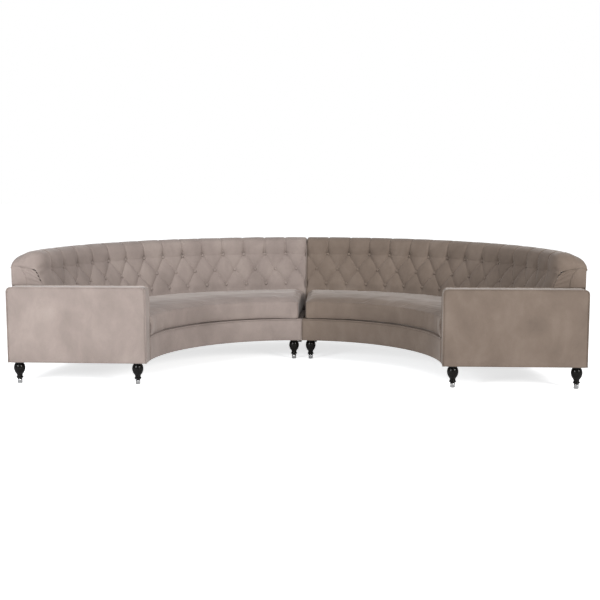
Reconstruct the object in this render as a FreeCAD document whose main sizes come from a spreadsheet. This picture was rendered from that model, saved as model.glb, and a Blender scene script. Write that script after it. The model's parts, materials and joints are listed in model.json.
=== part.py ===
import FreeCAD, Part
import math
import os
import re
import Sketcher

# Curved sofa in two quarter-circle sections that meet at a seam, in millimetres.
# +Z is up and the front faces -Y. The origin is on the floor, at the centre of the whole outline.
# Each section is drawn about the centre of the seat's arc, with the seam plane at x = 0,
# and then moved back so that the origin is where it should be.
# The right section is modelled, and the left one is its mirror image.

Vector = FreeCAD.Vector

# Driving dimensions. Radii are measured from the centre of the arc, and levels from the floor.
SIZES = {
    # plan
    "inner_radius": 991,
    "outer_radius": 1938,
    "arm_front": 40,
    "arm_depth": 130,
    "arm_setback": 4,
    "seam_gap": 2,
    "fit_gap": 0.3,
    # levels
    "leg_height": 152,
    "platform_top": 315,
    "cushion_front_top": 457,
    "cushion_rear_top": 483,
    "arm_top": 664,
    "back_top": 893,
    # base frame
    "rail_thickness": 22,
    "cross_rail_thickness": 25,
    "rib_thickness": 18,
    "rib_count": 5,
    "rib_margin": 55,
    "dust_thickness": 1,
    "leg_block_size": 68,
    "leg_block_height": 60,
    # webbing and deck
    "webbing_width": 60,
    "webbing_thickness": 2,
    "webbing_count": 8,
    "webbing_pitch": 10.6,
    "webbing_margin": 1,
    "deck_thickness": 13,
    "border_thickness": 12,
    # piping
    "piping_radius": 4,
    "piping_seat": 6,
    # legs
    "collar_radius": 28.5,
    "collar_height": 9,
    "bulb_low": 62,
    "bulb_under_radius": 32,
    "bulb_under_level": 80,
    "bulb_radius": 38,
    "bulb_level": 104,
    "bulb_over_radius": 35,
    "bulb_over_level": 126,
    "neck_radius": 19.5,
    "ring_radius": 24,
    "ring_high": 48,
    "ring_band": 4,
    "ring_low": 36,
    "ferrule_radius": 16,
    "ferrule_height": 30,
    "ferrule_wall": 2,
    "ferrule_floor": 3,
    "ferrule_edge": 3,
    "plate_size": 96,
    "plate_thickness": 3,
    "plate_corner": 10,
    "arm_leg_inset": 54,
    "arm_leg_inner_inset": 72,
    "front_leg_inset": 75,
    "rear_leg_inset": 70,
    # arm
    "arm_corner": 25,
    "arm_wall": 12,
    "arm_stile": 45,
    "arm_window_count": 3,
    # back
    "back_lean": 22.9,
    "back_depth": 239,
    "outside_thickness": 8,
    "seam_panel_thickness": 4,
    "back_foam": 15,
    "back_board_thickness": 9,
    "top_rail_level": 750,
    # tufting
    "row_low": 524,
    "row_middle": 637,
    "row_top": 758,
    "tuft_columns": 14,
    "tuft_end_zone": 9.36,
    "tuft_depth": 26,
    "base_proud": 14,
    "tuft_low_margin": 38,
    "button_radius": 12,
    "button_crown": 5,
    # roll at the top of the back
    "roll_overhang": 17,
    "roll_front_drop": 58,
    "roll_front_proud": 44,
    "roll_drop": 81,
    "roll_lip": 36,
    "pleat_over_roll": 6,
    "end_rounding": 130,
    "seam_rounding": 12,
    "facing_thickness": 8,
    "facing_drop": 98,
    "facing_width": 106,
    "facing_curve": 130,
    # seat cushion
    "cushion_lift": 0.6,
    "cushion_overhang": 6,
    "cushion_corner": 18,
    "cushion_side_bulge": 6,
    "cushion_crown": 12,
    "cushion_rear_gap": 1,
    "cushion_end_rounding": 18,
    "cushion_steps": 12,
    # connectors
    "tongue_width": 40,
    "tongue_thickness": 4,
    "tongue_reach": 42,
    "connector_length": 60,
    "connector_wall": 4,
    "connector_front": 1200,
    "connector_rear": 1750,
}

# Sizes that follow from the driving dimensions.
DERIVED = {
    "piping_inset": "piping_seat / 2 - piping_radius * cos(45)",
    "piping_proud": "piping_radius - piping_inset",
    "piping_corner_radius": "piping_radius / cos(22.5)",
    "roll_radius": "outer_radius + roll_overhang",
    "arc_centre_y": "(arm_front + piping_proud - roll_radius) / 2",
    "seam_plane": "seam_gap / 2",
    "section_start": "seam_plane + seam_panel_thickness",
    "arm_back": "arm_depth - arm_front",
    "section_end": "arm_back + fit_gap",
    "frame_end": "section_end + end_rounding",
    "border_back": "inner_radius + border_thickness",
    "border_top_edge": "inner_radius + piping_seat",
    "border_edge_level": "platform_top - piping_seat",
    "base_low": "leg_height + dust_thickness",
    "base_high": "platform_top - deck_thickness - webbing_thickness",
    "deck_low": "base_high + webbing_thickness",
    "front_rail_back": "border_back + rail_thickness",
    "outside_inner": "outer_radius - outside_thickness",
    "rear_rail_back": "outside_inner - fit_gap",
    "rear_rail_front": "rear_rail_back - rail_thickness",
    "lean_slope": "tan(back_lean)",
    "middle_row_radius": "outer_radius - back_depth",
    "board_front": "back_foam / cos(back_lean)",
    "board_back": "(back_foam + back_board_thickness) / cos(back_lean)",
    "board_low_front": "middle_row_radius + (base_high - row_middle) * lean_slope + board_front",
    "board_low_back": "middle_row_radius + (base_high - row_middle) * lean_slope + board_back",
    "board_high": "top_rail_level + rail_thickness",
    "board_high_front": "middle_row_radius + (board_high - row_middle) * lean_slope + board_front",
    "board_high_back": "middle_row_radius + (board_high - row_middle) * lean_slope + board_back",
    "deck_rail_back": "board_low_front",
    "deck_rail_front": "deck_rail_back - rail_thickness",
    "deck_back": "middle_row_radius + (deck_low - row_middle) * lean_slope + board_front - fit_gap",
    "top_rail_top": "top_rail_level + rail_thickness",
    "top_rail_front": "board_high_back + fit_gap",
    "pad_rear_level": "top_rail_top + fit_gap",
    "rib_low_front": "board_low_back + fit_gap",
    "rib_high_front": "board_high_back + fit_gap",
    "rib_back": "rear_rail_back",
    "window_low": "base_high + rib_margin",
    "window_high": "top_rail_level - rib_margin",
    "window_back": "rib_back - rib_margin",
    "window_low_front": "board_low_back + rib_margin * (lean_slope + 1 / cos(back_lean))",
    "window_high_front": "board_high_back - rib_margin * (lean_slope - 1 / cos(back_lean))",
    "lip_level": "back_top - roll_drop - roll_lip",
    "outside_top": "lip_level - fit_gap",
    "leg_top": "leg_height - plate_thickness",
    "collar_low": "leg_top - collar_height",
    "ring_band_high": "(ring_high + ring_low + ring_band) / 2",
    "ring_band_low": "(ring_high + ring_low - ring_band) / 2",
    "spigot_radius": "ferrule_radius - ferrule_wall - fit_gap",
    "spigot_low": "ferrule_floor + fit_gap",
    "ferrule_bore": "ferrule_radius - ferrule_wall",
    "ferrule_top": "ferrule_height - fit_gap",
    "ferrule_foot": "ferrule_radius - ferrule_edge",
    "arm_outer": "outer_radius - arm_setback",
    "arm_cover_depth": "arm_depth - piping_proud",
    "arm_frame_inner": "inner_radius + arm_wall + fit_gap",
    "arm_frame_outer": "arm_outer - arm_wall - fit_gap",
    "arm_frame_top": "arm_top - arm_wall - fit_gap",
    "arm_frame_depth": "arm_cover_depth - 2 * arm_wall - 2 * fit_gap",
    "arm_corner_low": "arm_top - arm_corner",
    "arm_corner_inner": "inner_radius + arm_corner",
    "arm_corner_outer": "arm_outer - arm_corner",
    "arm_cavity_inner": "inner_radius + arm_wall",
    "arm_cavity_outer": "arm_outer - arm_wall",
    "arm_cavity_rear": "arm_cover_depth - arm_wall",
    "arm_window_pitch": "(arm_frame_outer - arm_frame_inner - arm_stile) / arm_window_count",
    "arm_window_left": "arm_frame_inner + arm_stile",
    "arm_window_right": "arm_frame_inner + arm_window_pitch",
    "arm_window_low": "base_low + arm_stile",
    "arm_window_high": "arm_frame_top - arm_stile",
    "facing_high": "back_top - facing_drop",
    "facing_low": "arm_top + piping_proud + fit_gap",
    "facing_outer": "sqrt(outer_radius * outer_radius - arm_back * arm_back)",
    "facing_inner": "facing_outer - facing_width",
    "facing_high_inner": "facing_outer - facing_width / 2",
    "tongue_top": "leg_height - connector_wall - fit_gap",
    "tongue_low": "tongue_top - tongue_thickness",
    "socket_low": "tongue_low - fit_gap - connector_wall",
}


def make_sheet(doc):
    """The spreadsheet of driving dimensions, one row for each."""
    sheet = doc.addObject("Spreadsheet::Sheet", "Sizes")
    for row, (alias, value) in enumerate(SIZES.items(), 1):
        sheet.set(f"A{row}", alias)
        sheet.set(f"B{row}", str(value))
        sheet.setAlias(f"B{row}", alias)
    doc.recompute()
    return sheet


def bound(text):
    """An expression in words, with each word given the object that holds its value."""
    def owner(match):
        word = match.group(0)
        if word in SIZES:
            return f"Sizes.{word}"
        if word in DERIVED:
            return f"Derived.{word}"
        return word
    return re.sub(r"[a-z_]+", owner, text)


def make_derived(doc):
    """The set of sizes that follow from the driving ones."""
    derived = doc.addObject("App::VarSet", "Derived")
    for name, text in DERIVED.items():
        derived.addProperty("App::PropertyFloat", name, "Derived", "")
        derived.setExpression(name, bound(text))
    doc.recompute()
    return derived


doc = FreeCAD.newDocument("CurvedSofa")
sheet = make_sheet(doc)
derived = make_derived(doc)


def size(name):
    """The value of one driving or derived dimension."""
    return float(getattr(sheet if name in SIZES else derived, name))


def bind(item, **expressions):
    """Tie properties of an object to the sizes; a double underscore stands for a dot."""
    for name, text in expressions.items():
        item.setExpression(name.replace("__", "."), bound(text))
    return item


def add(kind, name, **expressions):
    return bind(doc.addObject(kind, name), **expressions)


def finish(item, label, shift="0"):
    """Name a piece and move it from the centre of the arc to the sofa's own origin."""
    item.Label = label
    bind(item, Placement__Base__y=f"arc_centre_y + ({shift})")
    return item


# Helpers for solids

def ring(name, inner, outer, low, high):
    """A full ring between two radii and two levels."""
    wide = add("Part::Cylinder", name + "Outer", Radius=outer, Height=f"{high} - {low}",
               Placement__Base__z=low)
    hole = add("Part::Cylinder", name + "Inner", Radius=inner, Height=f"{high} - {low}",
               Placement__Base__z=low)
    cut = doc.addObject("Part::Cut", name + "Ring")
    cut.Base = wide
    cut.Tool = hole
    return cut


def common(name, base, tool):
    item = doc.addObject("Part::Common", name)
    item.Base = base
    item.Tool = tool
    return item


def cut(name, base, tool):
    item = doc.addObject("Part::Cut", name)
    item.Base = base
    item.Tool = tool
    return item


def group(name, members):
    item = doc.addObject("Part::Compound", name)
    item.Links = members
    return item


def copy_of(item, name, **expressions):
    """One more of the same piece, at its own place."""
    link = doc.addObject("App::Link", name)
    link.LinkedObject = item
    link.LinkTransform = True
    return bind(link, **expressions)


def turned_copy(item, name, angle):
    """One more of a piece that lies along +X, turned to an angle from the seam."""
    link = copy_of(item, name)
    link.Placement = FreeCAD.Placement(Vector(), FreeCAD.Rotation(Vector(0, 0, 1), 90 - angle))
    return link


def arc_piece(name, label, full_ring, space):
    """The part of a full ring that lies in one of the spaces of the right section."""
    return finish(common(name, full_ring, space), label)


def origin_plane(body, role):
    for feature in body.Origin.OriginFeatures:
        if feature.Role == role:
            return feature


def outline(body, name, role, corners):
    """A closed, fully bound sketch on one of a body's own planes.

    A corner is (across, up), or (across, up, radius, centre_side) where an arc ends;
    centre_side is 1 where the arc's centre lies left of the way from its start to its end.
    """
    sketch = body.newObject("Sketcher::SketchObject", name)
    sketch.AttachmentSupport = (origin_plane(body, role), [""])
    sketch.MapMode = "FlatFace"
    points = [Vector(size(c[0]) if c[0] else 0, size(c[1]) if c[1] else 0, 0) for c in corners]
    ends = []
    for index, corner in enumerate(corners):
        start = points[index - 1]
        end = points[index]
        if len(corner) == 2:
            sketch.addGeometry(Part.LineSegment(start, end))
            ends.append((1, 2))
            continue
        radius = size(corner[2])
        chord = end - start
        left = Vector(-chord.y, chord.x, 0).normalize()
        rise = math.sqrt(radius ** 2 - (chord.Length / 2) ** 2)
        centre = (start + end) / 2 + left * (rise * corner[3])
        middle = centre - left * (radius * corner[3])
        sketch.addGeometry(Part.ArcOfCircle(*arc_angles(centre, radius, start, middle, end)))
        ends.append((1, 2) if corner[3] > 0 else (2, 1))
    for index in range(len(corners)):
        before = (index - 1) % len(corners)
        sketch.addConstraint(Sketcher.Constraint("Coincident", before, ends[before][1],
                                                 index, ends[index][0]))
    for index, corner in enumerate(corners):
        for kind, word, value in (("DistanceX", corner[0], points[index].x),
                                  ("DistanceY", corner[1], points[index].y)):
            number = sketch.addConstraint(Sketcher.Constraint(kind, -1, 1, index, ends[index][1], value))
            if word:
                sketch.setExpression(f"Constraints[{number}]", bound(word))
        if len(corner) > 2:
            number = sketch.addConstraint(Sketcher.Constraint("Radius", index, size(corner[2])))
            sketch.setExpression(f"Constraints[{number}]", bound(corner[2]))
    return sketch


def arc_angles(centre, radius, start, middle, end):
    """A circle and its two angles, counter-clockwise, for the arc through the middle point."""
    first = math.atan2(start.y - centre.y, start.x - centre.x)
    last = math.atan2(end.y - centre.y, end.x - centre.x)
    passing = math.atan2(middle.y - centre.y, middle.x - centre.x)
    turn = 2 * math.pi
    if (passing - first) % turn > (last - first) % turn:
        first, last = last, first
    return Part.Circle(centre, Vector(0, 0, 1), radius), first, first + (last - first) % turn


def turned(name, corners):
    """A body turned about the upright axis from a half outline of radii and levels."""
    body = doc.addObject("PartDesign::Body", name)
    sketch = outline(body, name + "Outline", "XZ_Plane", corners)
    turning = body.newObject("PartDesign::Revolution", name + "Turned")
    turning.Profile = sketch
    turning.ReferenceAxis = (sketch, ["V_Axis"])
    turning.Angle = 360
    return body


def padded(name, corners, length):
    """A body with one upright outline, seen from the front, padded backwards to a length."""
    body = doc.addObject("PartDesign::Body", name)
    sketch = outline(body, name + "Outline", "XZ_Plane", corners)
    pad = body.newObject("PartDesign::Pad", name + "Pad")
    pad.Profile = sketch
    pad.Reversed = True
    bind(pad, Length=length)
    return body


def rectangle(left, right, low, high):
    return [(left, low), (right, low), (right, high), (left, high)]


# Spaces of the right section, beside the seam panel: one reaches the arm, and the other stops
# short of it, where the back's end is only padding

section_space = add("Part::Box", "SectionSpace", Length="2 * outer_radius", Width="2 * outer_radius",
                    Height="2 * back_top", Placement__Base__x="section_start",
                    Placement__Base__y="section_end")
frame_space = add("Part::Box", "FrameSpace", Length="2 * outer_radius", Width="2 * outer_radius",
                  Height="2 * back_top", Placement__Base__x="section_start",
                  Placement__Base__y="frame_end")

pieces = []

# Base frame: three bent rails, and radial cross rails that butt against them

pieces.append(arc_piece("BaseFrontRail", "right_base_front_rail",
                        ring("FrontRail", "border_back", "front_rail_back", "base_low", "base_high"),
                        section_space))
pieces.append(arc_piece("BaseRearRail", "right_base_rear_rail",
                        ring("RearRail", "rear_rail_front", "rear_rail_back", "base_low", "base_high"),
                        section_space))
pieces.append(arc_piece("DeckRearRail", "right_deck_rear_rail",
                        ring("DeckRail", "deck_rail_front", "deck_rail_back", "base_low", "base_high"),
                        section_space))

rib_angles = [90 * (k + 1) / (size("rib_count") + 1) for k in range(int(size("rib_count")))]

cross_board = add("Part::Box", "CrossBoard", Length="rear_rail_back", Width="cross_rail_thickness",
                  Height="base_high - base_low", Placement__Base__y="-cross_rail_thickness / 2",
                  Placement__Base__z="base_low")
cross_boards = [turned_copy(cross_board, f"CrossBoard{n}", angle) for n, angle in enumerate(rib_angles, 1)]
seam_board = add("Part::Box", "SeamBoard", Length="cross_rail_thickness", Width="rear_rail_back",
                 Height="base_high - base_low", Placement__Base__x="section_start",
                 Placement__Base__z="base_low")
arm_board = add("Part::Box", "ArmBoard", Length="rear_rail_back", Width="cross_rail_thickness",
                Height="base_high - base_low", Placement__Base__y="section_end",
                Placement__Base__z="base_low")
front_span = ring("FrontSpan", "front_rail_back + fit_gap", "deck_rail_front - fit_gap",
                  "base_low", "base_high")
rear_span = ring("RearSpan", "deck_rail_back + fit_gap", "rear_rail_front - fit_gap",
                 "base_low", "base_high")
pieces.append(finish(common("BaseCrossRails", group("CrossBoards", cross_boards + [seam_board, arm_board]),
                            group("Spans", [front_span, rear_span])), "right_base_cross_rails"))

# Leg blocks in the corners of the base: at the seam front and rear, and beside the middle rib

block = add("Part::Box", "LegBlock", Length="leg_block_size", Width="leg_block_size",
            Height="leg_block_height", Placement__Base__x="-leg_block_size / 2",
            Placement__Base__y="-leg_block_size / 2", Placement__Base__z="base_low")
middle_angle = rib_angles[len(rib_angles) // 2]
middle_radius = "(outer_radius - rear_leg_inset)"
side_step = "(cross_rail_thickness / 2 + fit_gap + leg_block_size / 2)"
seam_leg_x = "section_start + cross_rail_thickness + fit_gap + leg_block_size / 2"
BASE_LEGS = {
    "SeamFront": (seam_leg_x, "inner_radius + front_leg_inset"),
    "SeamRear": (seam_leg_x, "outer_radius - rear_leg_inset"),
    "MiddleRear": (f"{middle_radius} * sin({middle_angle}) + {side_step} * cos({middle_angle})",
                   f"{middle_radius} * cos({middle_angle}) - {side_step} * sin({middle_angle})"),
}
ARM_LEGS = {
    "ArmOuter": ("arm_outer - arm_leg_inset", "arm_back - arm_depth / 2"),
    "ArmInner": ("inner_radius + arm_leg_inner_inset", "arm_back - arm_depth / 2"),
}


def at_legs(item, name, places):
    """Copies of a piece at some of the legs, turned with the rib at the middle one."""
    copies = []
    for place, (across, deep) in places.items():
        copy = copy_of(item, name + place, Placement__Base__x=across, Placement__Base__y=deep)
        if place == "MiddleRear":
            copy.Placement.Rotation = FreeCAD.Rotation(Vector(0, 0, 1), -middle_angle)
        copies.append(copy)
    return group(name + "Group", copies)


blocks = at_legs(block, "Block", BASE_LEGS)
pieces.append(finish(blocks, "right_leg_blocks"))

# Legs: turned wood, a chrome ferrule on the foot and a steel plate against the base

leg = turned("Leg", [
    ("", "spigot_low"),
    ("spigot_radius", "spigot_low"),
    ("spigot_radius", "ferrule_height"),
    ("ferrule_radius", "ferrule_height"),
    ("ferrule_radius", "ring_low"),
    ("ring_radius", "ring_band_low"),
    ("ring_radius", "ring_band_high"),
    ("neck_radius", "ring_high"),
    ("neck_radius", "bulb_low"),
    ("bulb_under_radius", "bulb_under_level"),
    ("bulb_radius", "bulb_level"),
    ("bulb_over_radius", "bulb_over_level"),
    ("collar_radius", "collar_low"),
    ("collar_radius", "leg_top"),
    ("", "leg_top"),
])
ferrule = turned("Ferrule", [
    ("", ""),
    ("ferrule_foot", ""),
    ("ferrule_radius", "ferrule_edge"),
    ("ferrule_radius", "ferrule_top"),
    ("ferrule_bore", "ferrule_top"),
    ("ferrule_bore", "ferrule_floor"),
    ("", "ferrule_floor"),
])
plate = add("Part::Box", "LegPlate", Length="plate_size", Width="plate_size", Height="plate_thickness",
            Placement__Base__x="-plate_size / 2", Placement__Base__y="-plate_size / 2",
            Placement__Base__z="leg_top")
doc.recompute()
plate_corners = doc.addObject("Part::Chamfer", "LegPlateCorners")
plate_corners.Base = plate
plate_corners.Edges = [(n, size("plate_corner"), size("plate_corner"))
                       for n, edge in enumerate(plate.Shape.Edges, 1)
                       if abs(edge.Length - size("plate_thickness")) < 1e-6]
ALL_LEGS = {**BASE_LEGS, **ARM_LEGS}
pieces.append(finish(at_legs(leg, "Leg", ALL_LEGS), "right_legs"))
pieces.append(finish(at_legs(ferrule, "Ferrule", ALL_LEGS), "right_leg_ferrules"))
pieces.append(finish(at_legs(plate_corners, "Plate", ALL_LEGS), "right_leg_plates"))

# Dust cover: black cloth under the base, and a second piece under the arm

base_cloth = common("BaseCloth", ring("DustCloth", "border_back", "outside_inner", "leg_height", "base_low"),
                    section_space)
arm_cloth = add("Part::Box", "ArmCloth", Length="arm_frame_outer - arm_frame_inner",
                Width="arm_frame_depth", Height="dust_thickness", Placement__Base__x="arm_frame_inner",
                Placement__Base__y="arm_wall + fit_gap - arm_front", Placement__Base__z="leg_height")
pieces.append(finish(group("DustCover", [base_cloth, arm_cloth]), "right_dust_cover"))

# Seat webbing: straps from the front rail back to the deck rear rail

strap = add("Part::Box", "Strap", Length="deck_rail_back - border_back - 2 * webbing_margin",
            Width="webbing_width", Height="webbing_thickness",
            Placement__Base__x="border_back + webbing_margin",
            Placement__Base__y="-webbing_width / 2", Placement__Base__z="base_high")
strap_holder = group("StrapHolder", [strap])
straps = [turned_copy(strap_holder, f"Strap{n}", size("webbing_pitch") * (n - 0.5))
          for n in range(1, int(size("webbing_count")) + 1)]
pieces.append(finish(group("SeatWebbing", straps), "right_seat_webbing"))

# Deck, front border and the piping on the border's top edge

pieces.append(arc_piece("PlatformDeck", "right_platform_deck",
                        ring("Deck", "border_back", "deck_back", "deck_low", "platform_top"),
                        section_space))
border = turned("Border", [
    ("inner_radius", "leg_height"),
    ("border_back", "leg_height"),
    ("border_back", "platform_top"),
    ("border_top_edge", "platform_top"),
    ("inner_radius", "border_edge_level"),
])
pieces.append(arc_piece("PlatformBorder", "right_platform_border", border, section_space))

welt = add("Part::RegularPolygon", "PlatformWelt", Circumradius="piping_corner_radius",
           Placement__Base__x="inner_radius + piping_inset",
           Placement__Base__z="platform_top - piping_inset")
welt.Polygon = 8
welt.Placement.Rotation = FreeCAD.Rotation(Vector(1, 0, 0), 90) * FreeCAD.Rotation(Vector(0, 0, 1), 22.5)
welt_ring = doc.addObject("Part::Revolution", "PlatformWeltRing")
welt_ring.Source = welt
welt_ring.Axis = Vector(0, 0, 1)
welt_ring.Angle = 360
welt_ring.Solid = True
pieces.append(arc_piece("PlatformPiping", "right_platform_piping", welt_ring, section_space))

# Frame of the back: upright ribs, a curved rail on top of them, and the board that the buttons pull on

rib_ring = doc.addObject("PartDesign::Body", "RibRing")
rib_outline = outline(rib_ring, "RibOutline", "XZ_Plane", [
    ("rib_low_front", "base_high"),
    ("rib_back", "base_high"),
    ("rib_back", "top_rail_level"),
    ("rib_high_front", "top_rail_level"),
])
rib_turn = rib_ring.newObject("PartDesign::Revolution", "RibTurn")
rib_turn.Profile = rib_outline
rib_turn.ReferenceAxis = (rib_outline, ["V_Axis"])
rib_turn.Angle = 360
rib_window = outline(rib_ring, "RibWindow", "XZ_Plane", [
    ("window_low_front", "window_low"),
    ("window_back", "window_low"),
    ("window_back", "window_high"),
    ("window_high_front", "window_high"),
])
rib_groove = rib_ring.newObject("PartDesign::Groove", "RibGroove")
rib_groove.Profile = rib_window
rib_groove.ReferenceAxis = (rib_window, ["V_Axis"])
rib_groove.Angle = 360

rib_plate = add("Part::Box", "RibPlate", Length="outer_radius", Width="rib_thickness",
                Height="top_rail_level - base_high", Placement__Base__y="-rib_thickness / 2",
                Placement__Base__z="base_high")
rib_plates = [turned_copy(rib_plate, f"RibPlate{n}", angle) for n, angle in enumerate(rib_angles, 1)]
seam_rib = add("Part::Box", "SeamRib", Length="rib_thickness", Width="outer_radius",
               Height="top_rail_level - base_high", Placement__Base__x="section_start",
               Placement__Base__z="base_high")
arm_rib = add("Part::Box", "ArmRib", Length="outer_radius", Width="rib_thickness",
              Height="top_rail_level - base_high", Placement__Base__y="frame_end",
              Placement__Base__z="base_high")
pieces.append(finish(common("BackRibs", group("RibPlates", rib_plates + [seam_rib, arm_rib]), rib_ring),
                     "right_back_ribs"))
pieces.append(arc_piece("BackTopRail", "right_back_top_rail",
                        ring("TopRail", "top_rail_front", "rib_back", "top_rail_level", "top_rail_top"),
                        frame_space))
board = turned("Board", [
    ("board_low_front", "base_high"),
    ("board_low_back", "base_high"),
    ("board_high_back", "board_high"),
    ("board_high_front", "board_high"),
])
pieces.append(arc_piece("BackBoard", "right_back_board", board, frame_space))
pieces.append(arc_piece("OutsideBack", "right_outside_back",
                        ring("Outside", "outside_inner", "outer_radius", "leg_height", "outside_top"),
                        section_space))

# Arm: a ladder frame inside a padded case, with piping round its front and rear edges

frame_body = padded("ArmFrame",
                    rectangle("arm_frame_inner", "arm_frame_outer", "base_low", "arm_frame_top"),
                    "arm_frame_depth")
window = outline(frame_body, "ArmWindow", "XZ_Plane",
                 rectangle("arm_window_left", "arm_window_right", "arm_window_low", "arm_window_high"))
opening = frame_body.newObject("PartDesign::Pocket", "ArmOpening")
opening.Profile = window
opening.Type = "ThroughAll"
opening.Midplane = True
openings = frame_body.newObject("PartDesign::LinearPattern", "ArmOpenings")
openings.Originals = [opening]
openings.Direction = (window, ["H_Axis"])
openings.Mode = "Spacing"
bind(openings, Offset="arm_window_pitch", Occurrences="arm_window_count")
frame_body.Tip = openings
pieces.append(finish(frame_body, "right_arm_frame", "arm_wall + fit_gap - arm_front"))

case = padded("ArmCover", [
    ("inner_radius", "leg_height"),
    ("arm_outer", "leg_height"),
    ("arm_outer", "arm_corner_low"),
    ("arm_corner_outer", "arm_top", "arm_corner", 1),
    ("arm_corner_inner", "arm_top"),
    ("inner_radius", "arm_corner_low", "arm_corner", 1),
], "arm_cover_depth")
cavity_sketch = outline(case, "ArmCavity", "XY_Plane",
                        rectangle("arm_cavity_inner", "arm_cavity_outer", "arm_wall", "arm_cavity_rear"))
cavity = case.newObject("PartDesign::Pocket", "ArmHollow")
cavity.Profile = cavity_sketch
cavity.Reversed = True
bind(cavity, Length="arm_top - arm_wall")
doc.recompute()


def on_arm_rim(edge):
    """Whether an edge runs round the front or rear face of the arm, its foot apart."""
    middle = edge.CenterOfMass
    on_face = min(abs(middle.y), abs(middle.y - size("arm_cover_depth"))) < 1e-3
    return on_face and middle.z > size("leg_height") + 1


rim = case.newObject("PartDesign::Chamfer", "ArmRim")
rim.Base = (cavity, [f"Edge{n}" for n, edge in enumerate(cavity.Shape.Edges, 1) if on_arm_rim(edge)])
bind(rim, Size="piping_seat")
pieces.append(finish(case, "right_arm_cover", "-arm_front"))


def octagon(centre):
    """The piping's outline, level, with a flat towards each side and each corner."""
    radius = size("piping_corner_radius")
    angles = [math.radians(45 * k + 22.5) for k in range(9)]
    return Part.makePolygon([centre + Vector(radius * math.cos(a), radius * math.sin(a), 0)
                             for a in angles])


def arm_welt(deep):
    """One line of piping, up the inner side of the arm, along its top and down the outer side."""
    inset = size("piping_inset")
    left = size("inner_radius") + inset
    right = size("arm_outer") - inset
    top = size("arm_top") - inset
    bend = size("arm_corner") - inset
    slant = bend * (1 - math.cos(math.radians(45)))
    foot = size("leg_height")
    path = Part.Wire([
        Part.LineSegment(Vector(left, deep, foot), Vector(left, deep, top - bend)).toShape(),
        Part.Arc(Vector(left, deep, top - bend), Vector(left + slant, deep, top - slant),
                 Vector(left + bend, deep, top)).toShape(),
        Part.LineSegment(Vector(left + bend, deep, top), Vector(right - bend, deep, top)).toShape(),
        Part.Arc(Vector(right - bend, deep, top), Vector(right - slant, deep, top - slant),
                 Vector(right, deep, top - bend)).toShape(),
        Part.LineSegment(Vector(right, deep, top - bend), Vector(right, deep, foot)).toShape(),
    ])
    return path.makePipeShell([octagon(Vector(left, deep, foot))], True, False)


def shaped(name, shape):
    """A piece whose shape is worked out here from the sheet's sizes."""
    item = doc.addObject("Part::Feature", name)
    item.Shape = shape
    return item


front_welt = arm_welt(size("piping_inset") - size("arm_front"))
rear_welt = arm_welt(size("arm_back") - size("piping_radius"))
pieces.append(finish(shaped("ArmPiping", Part.makeCompound([front_welt, rear_welt])),
                     "right_arm_piping"))

# The flat facing in the end of the roll, above the arm

facing = padded("Facing", [
    ("facing_inner", "facing_low", "facing_curve", 1),
    ("facing_outer", "facing_low"),
    ("facing_outer", "facing_high"),
    ("facing_high_inner", "facing_high"),
], "facing_thickness")
pieces.append(finish(facing, "right_back_end_facing", "arm_back - facing_thickness"))

# The tufted back. Its section stands on a leaning line that joins the three rows of buttons.
# Crowned pads rise from that line, and dip to it at each button. Sections through a column of
# top and low buttons and through a column of middle buttons take turns along the arc, and
# straight rulings join them, so that creases run from button to button.

LEAN = math.radians(size("back_lean"))
PAD_FULLNESS = 2.5
BUTTON_COLUMN, MIDDLE_COLUMN, PLAIN = "button", "middle", "plain"
PLEAT_SHARE = {BUTTON_COLUMN: 1, MIDDLE_COLUMN: 0, PLAIN: 0.1}
PLAIN_SHARE = 0.85


def crown(share):
    """Height of a pad as a share, from 1 at its middle to 0 at its edge."""
    return 1 - abs(share) ** PAD_FULLNESS


def pad_height(column, level):
    """How far the cover stands in front of the button line at a level between the outer rows."""
    depth = size("tuft_depth")
    middle = size("row_middle")
    spacing = size("row_top") - middle if level > middle else middle - size("row_low")
    share = abs(level - middle) / spacing
    if column == BUTTON_COLUMN:
        return depth * crown(share)
    if column == MIDDLE_COLUMN:
        return depth * crown(1 - share)
    return depth * PLAIN_SHARE


def front_point(level, height):
    """Radius and level of a point in front of the button line."""
    radius = size("middle_row_radius") + (level - size("row_middle")) * size("lean_slope")
    return radius - height * math.cos(LEAN), level + height * math.sin(LEAN)


def between(first, second, share=0.5):
    return tuple(a + (b - a) * share for a, b in zip(first, second))


def bulged(first, second, bulge):
    """The bend between two points, which stands out to the left of the way between them."""
    across, up = second[0] - first[0], second[1] - first[1]
    length = math.hypot(across, up)
    middle = between(first, second)
    return middle[0] - up / length * bulge, middle[1] + across / length * bulge


def roll_points(column):
    """Front, crest, shoulder, rear and lip of the roll, pressed in where a pleat crosses it."""
    top = size("back_top")
    front_level = top - size("roll_front_drop")
    front = front_point(front_level, 0)[0] - size("roll_front_proud")
    rear = size("roll_radius")
    width = rear - front
    points = [(front, front_level), (front + 0.3 * width, top), (front + 0.7 * width, top - 20),
              (rear, top - size("roll_drop"))]
    heart = ((front + rear) / 2, top - size("roll_drop"))
    pressed = []
    for point, share in zip(points, (1.6, 1, 0.8, 0.4)):
        reach = math.dist(point, heart)
        press = size("pleat_over_roll") * PLEAT_SHARE[column] * share
        pressed.append(between(point, heart, press / reach))
    lip = (size("outer_radius") + size("fit_gap"), size("lip_level"))
    return pressed + [lip]


ROLL_BULGES = (4, 9, 8, 10, 6)


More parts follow.
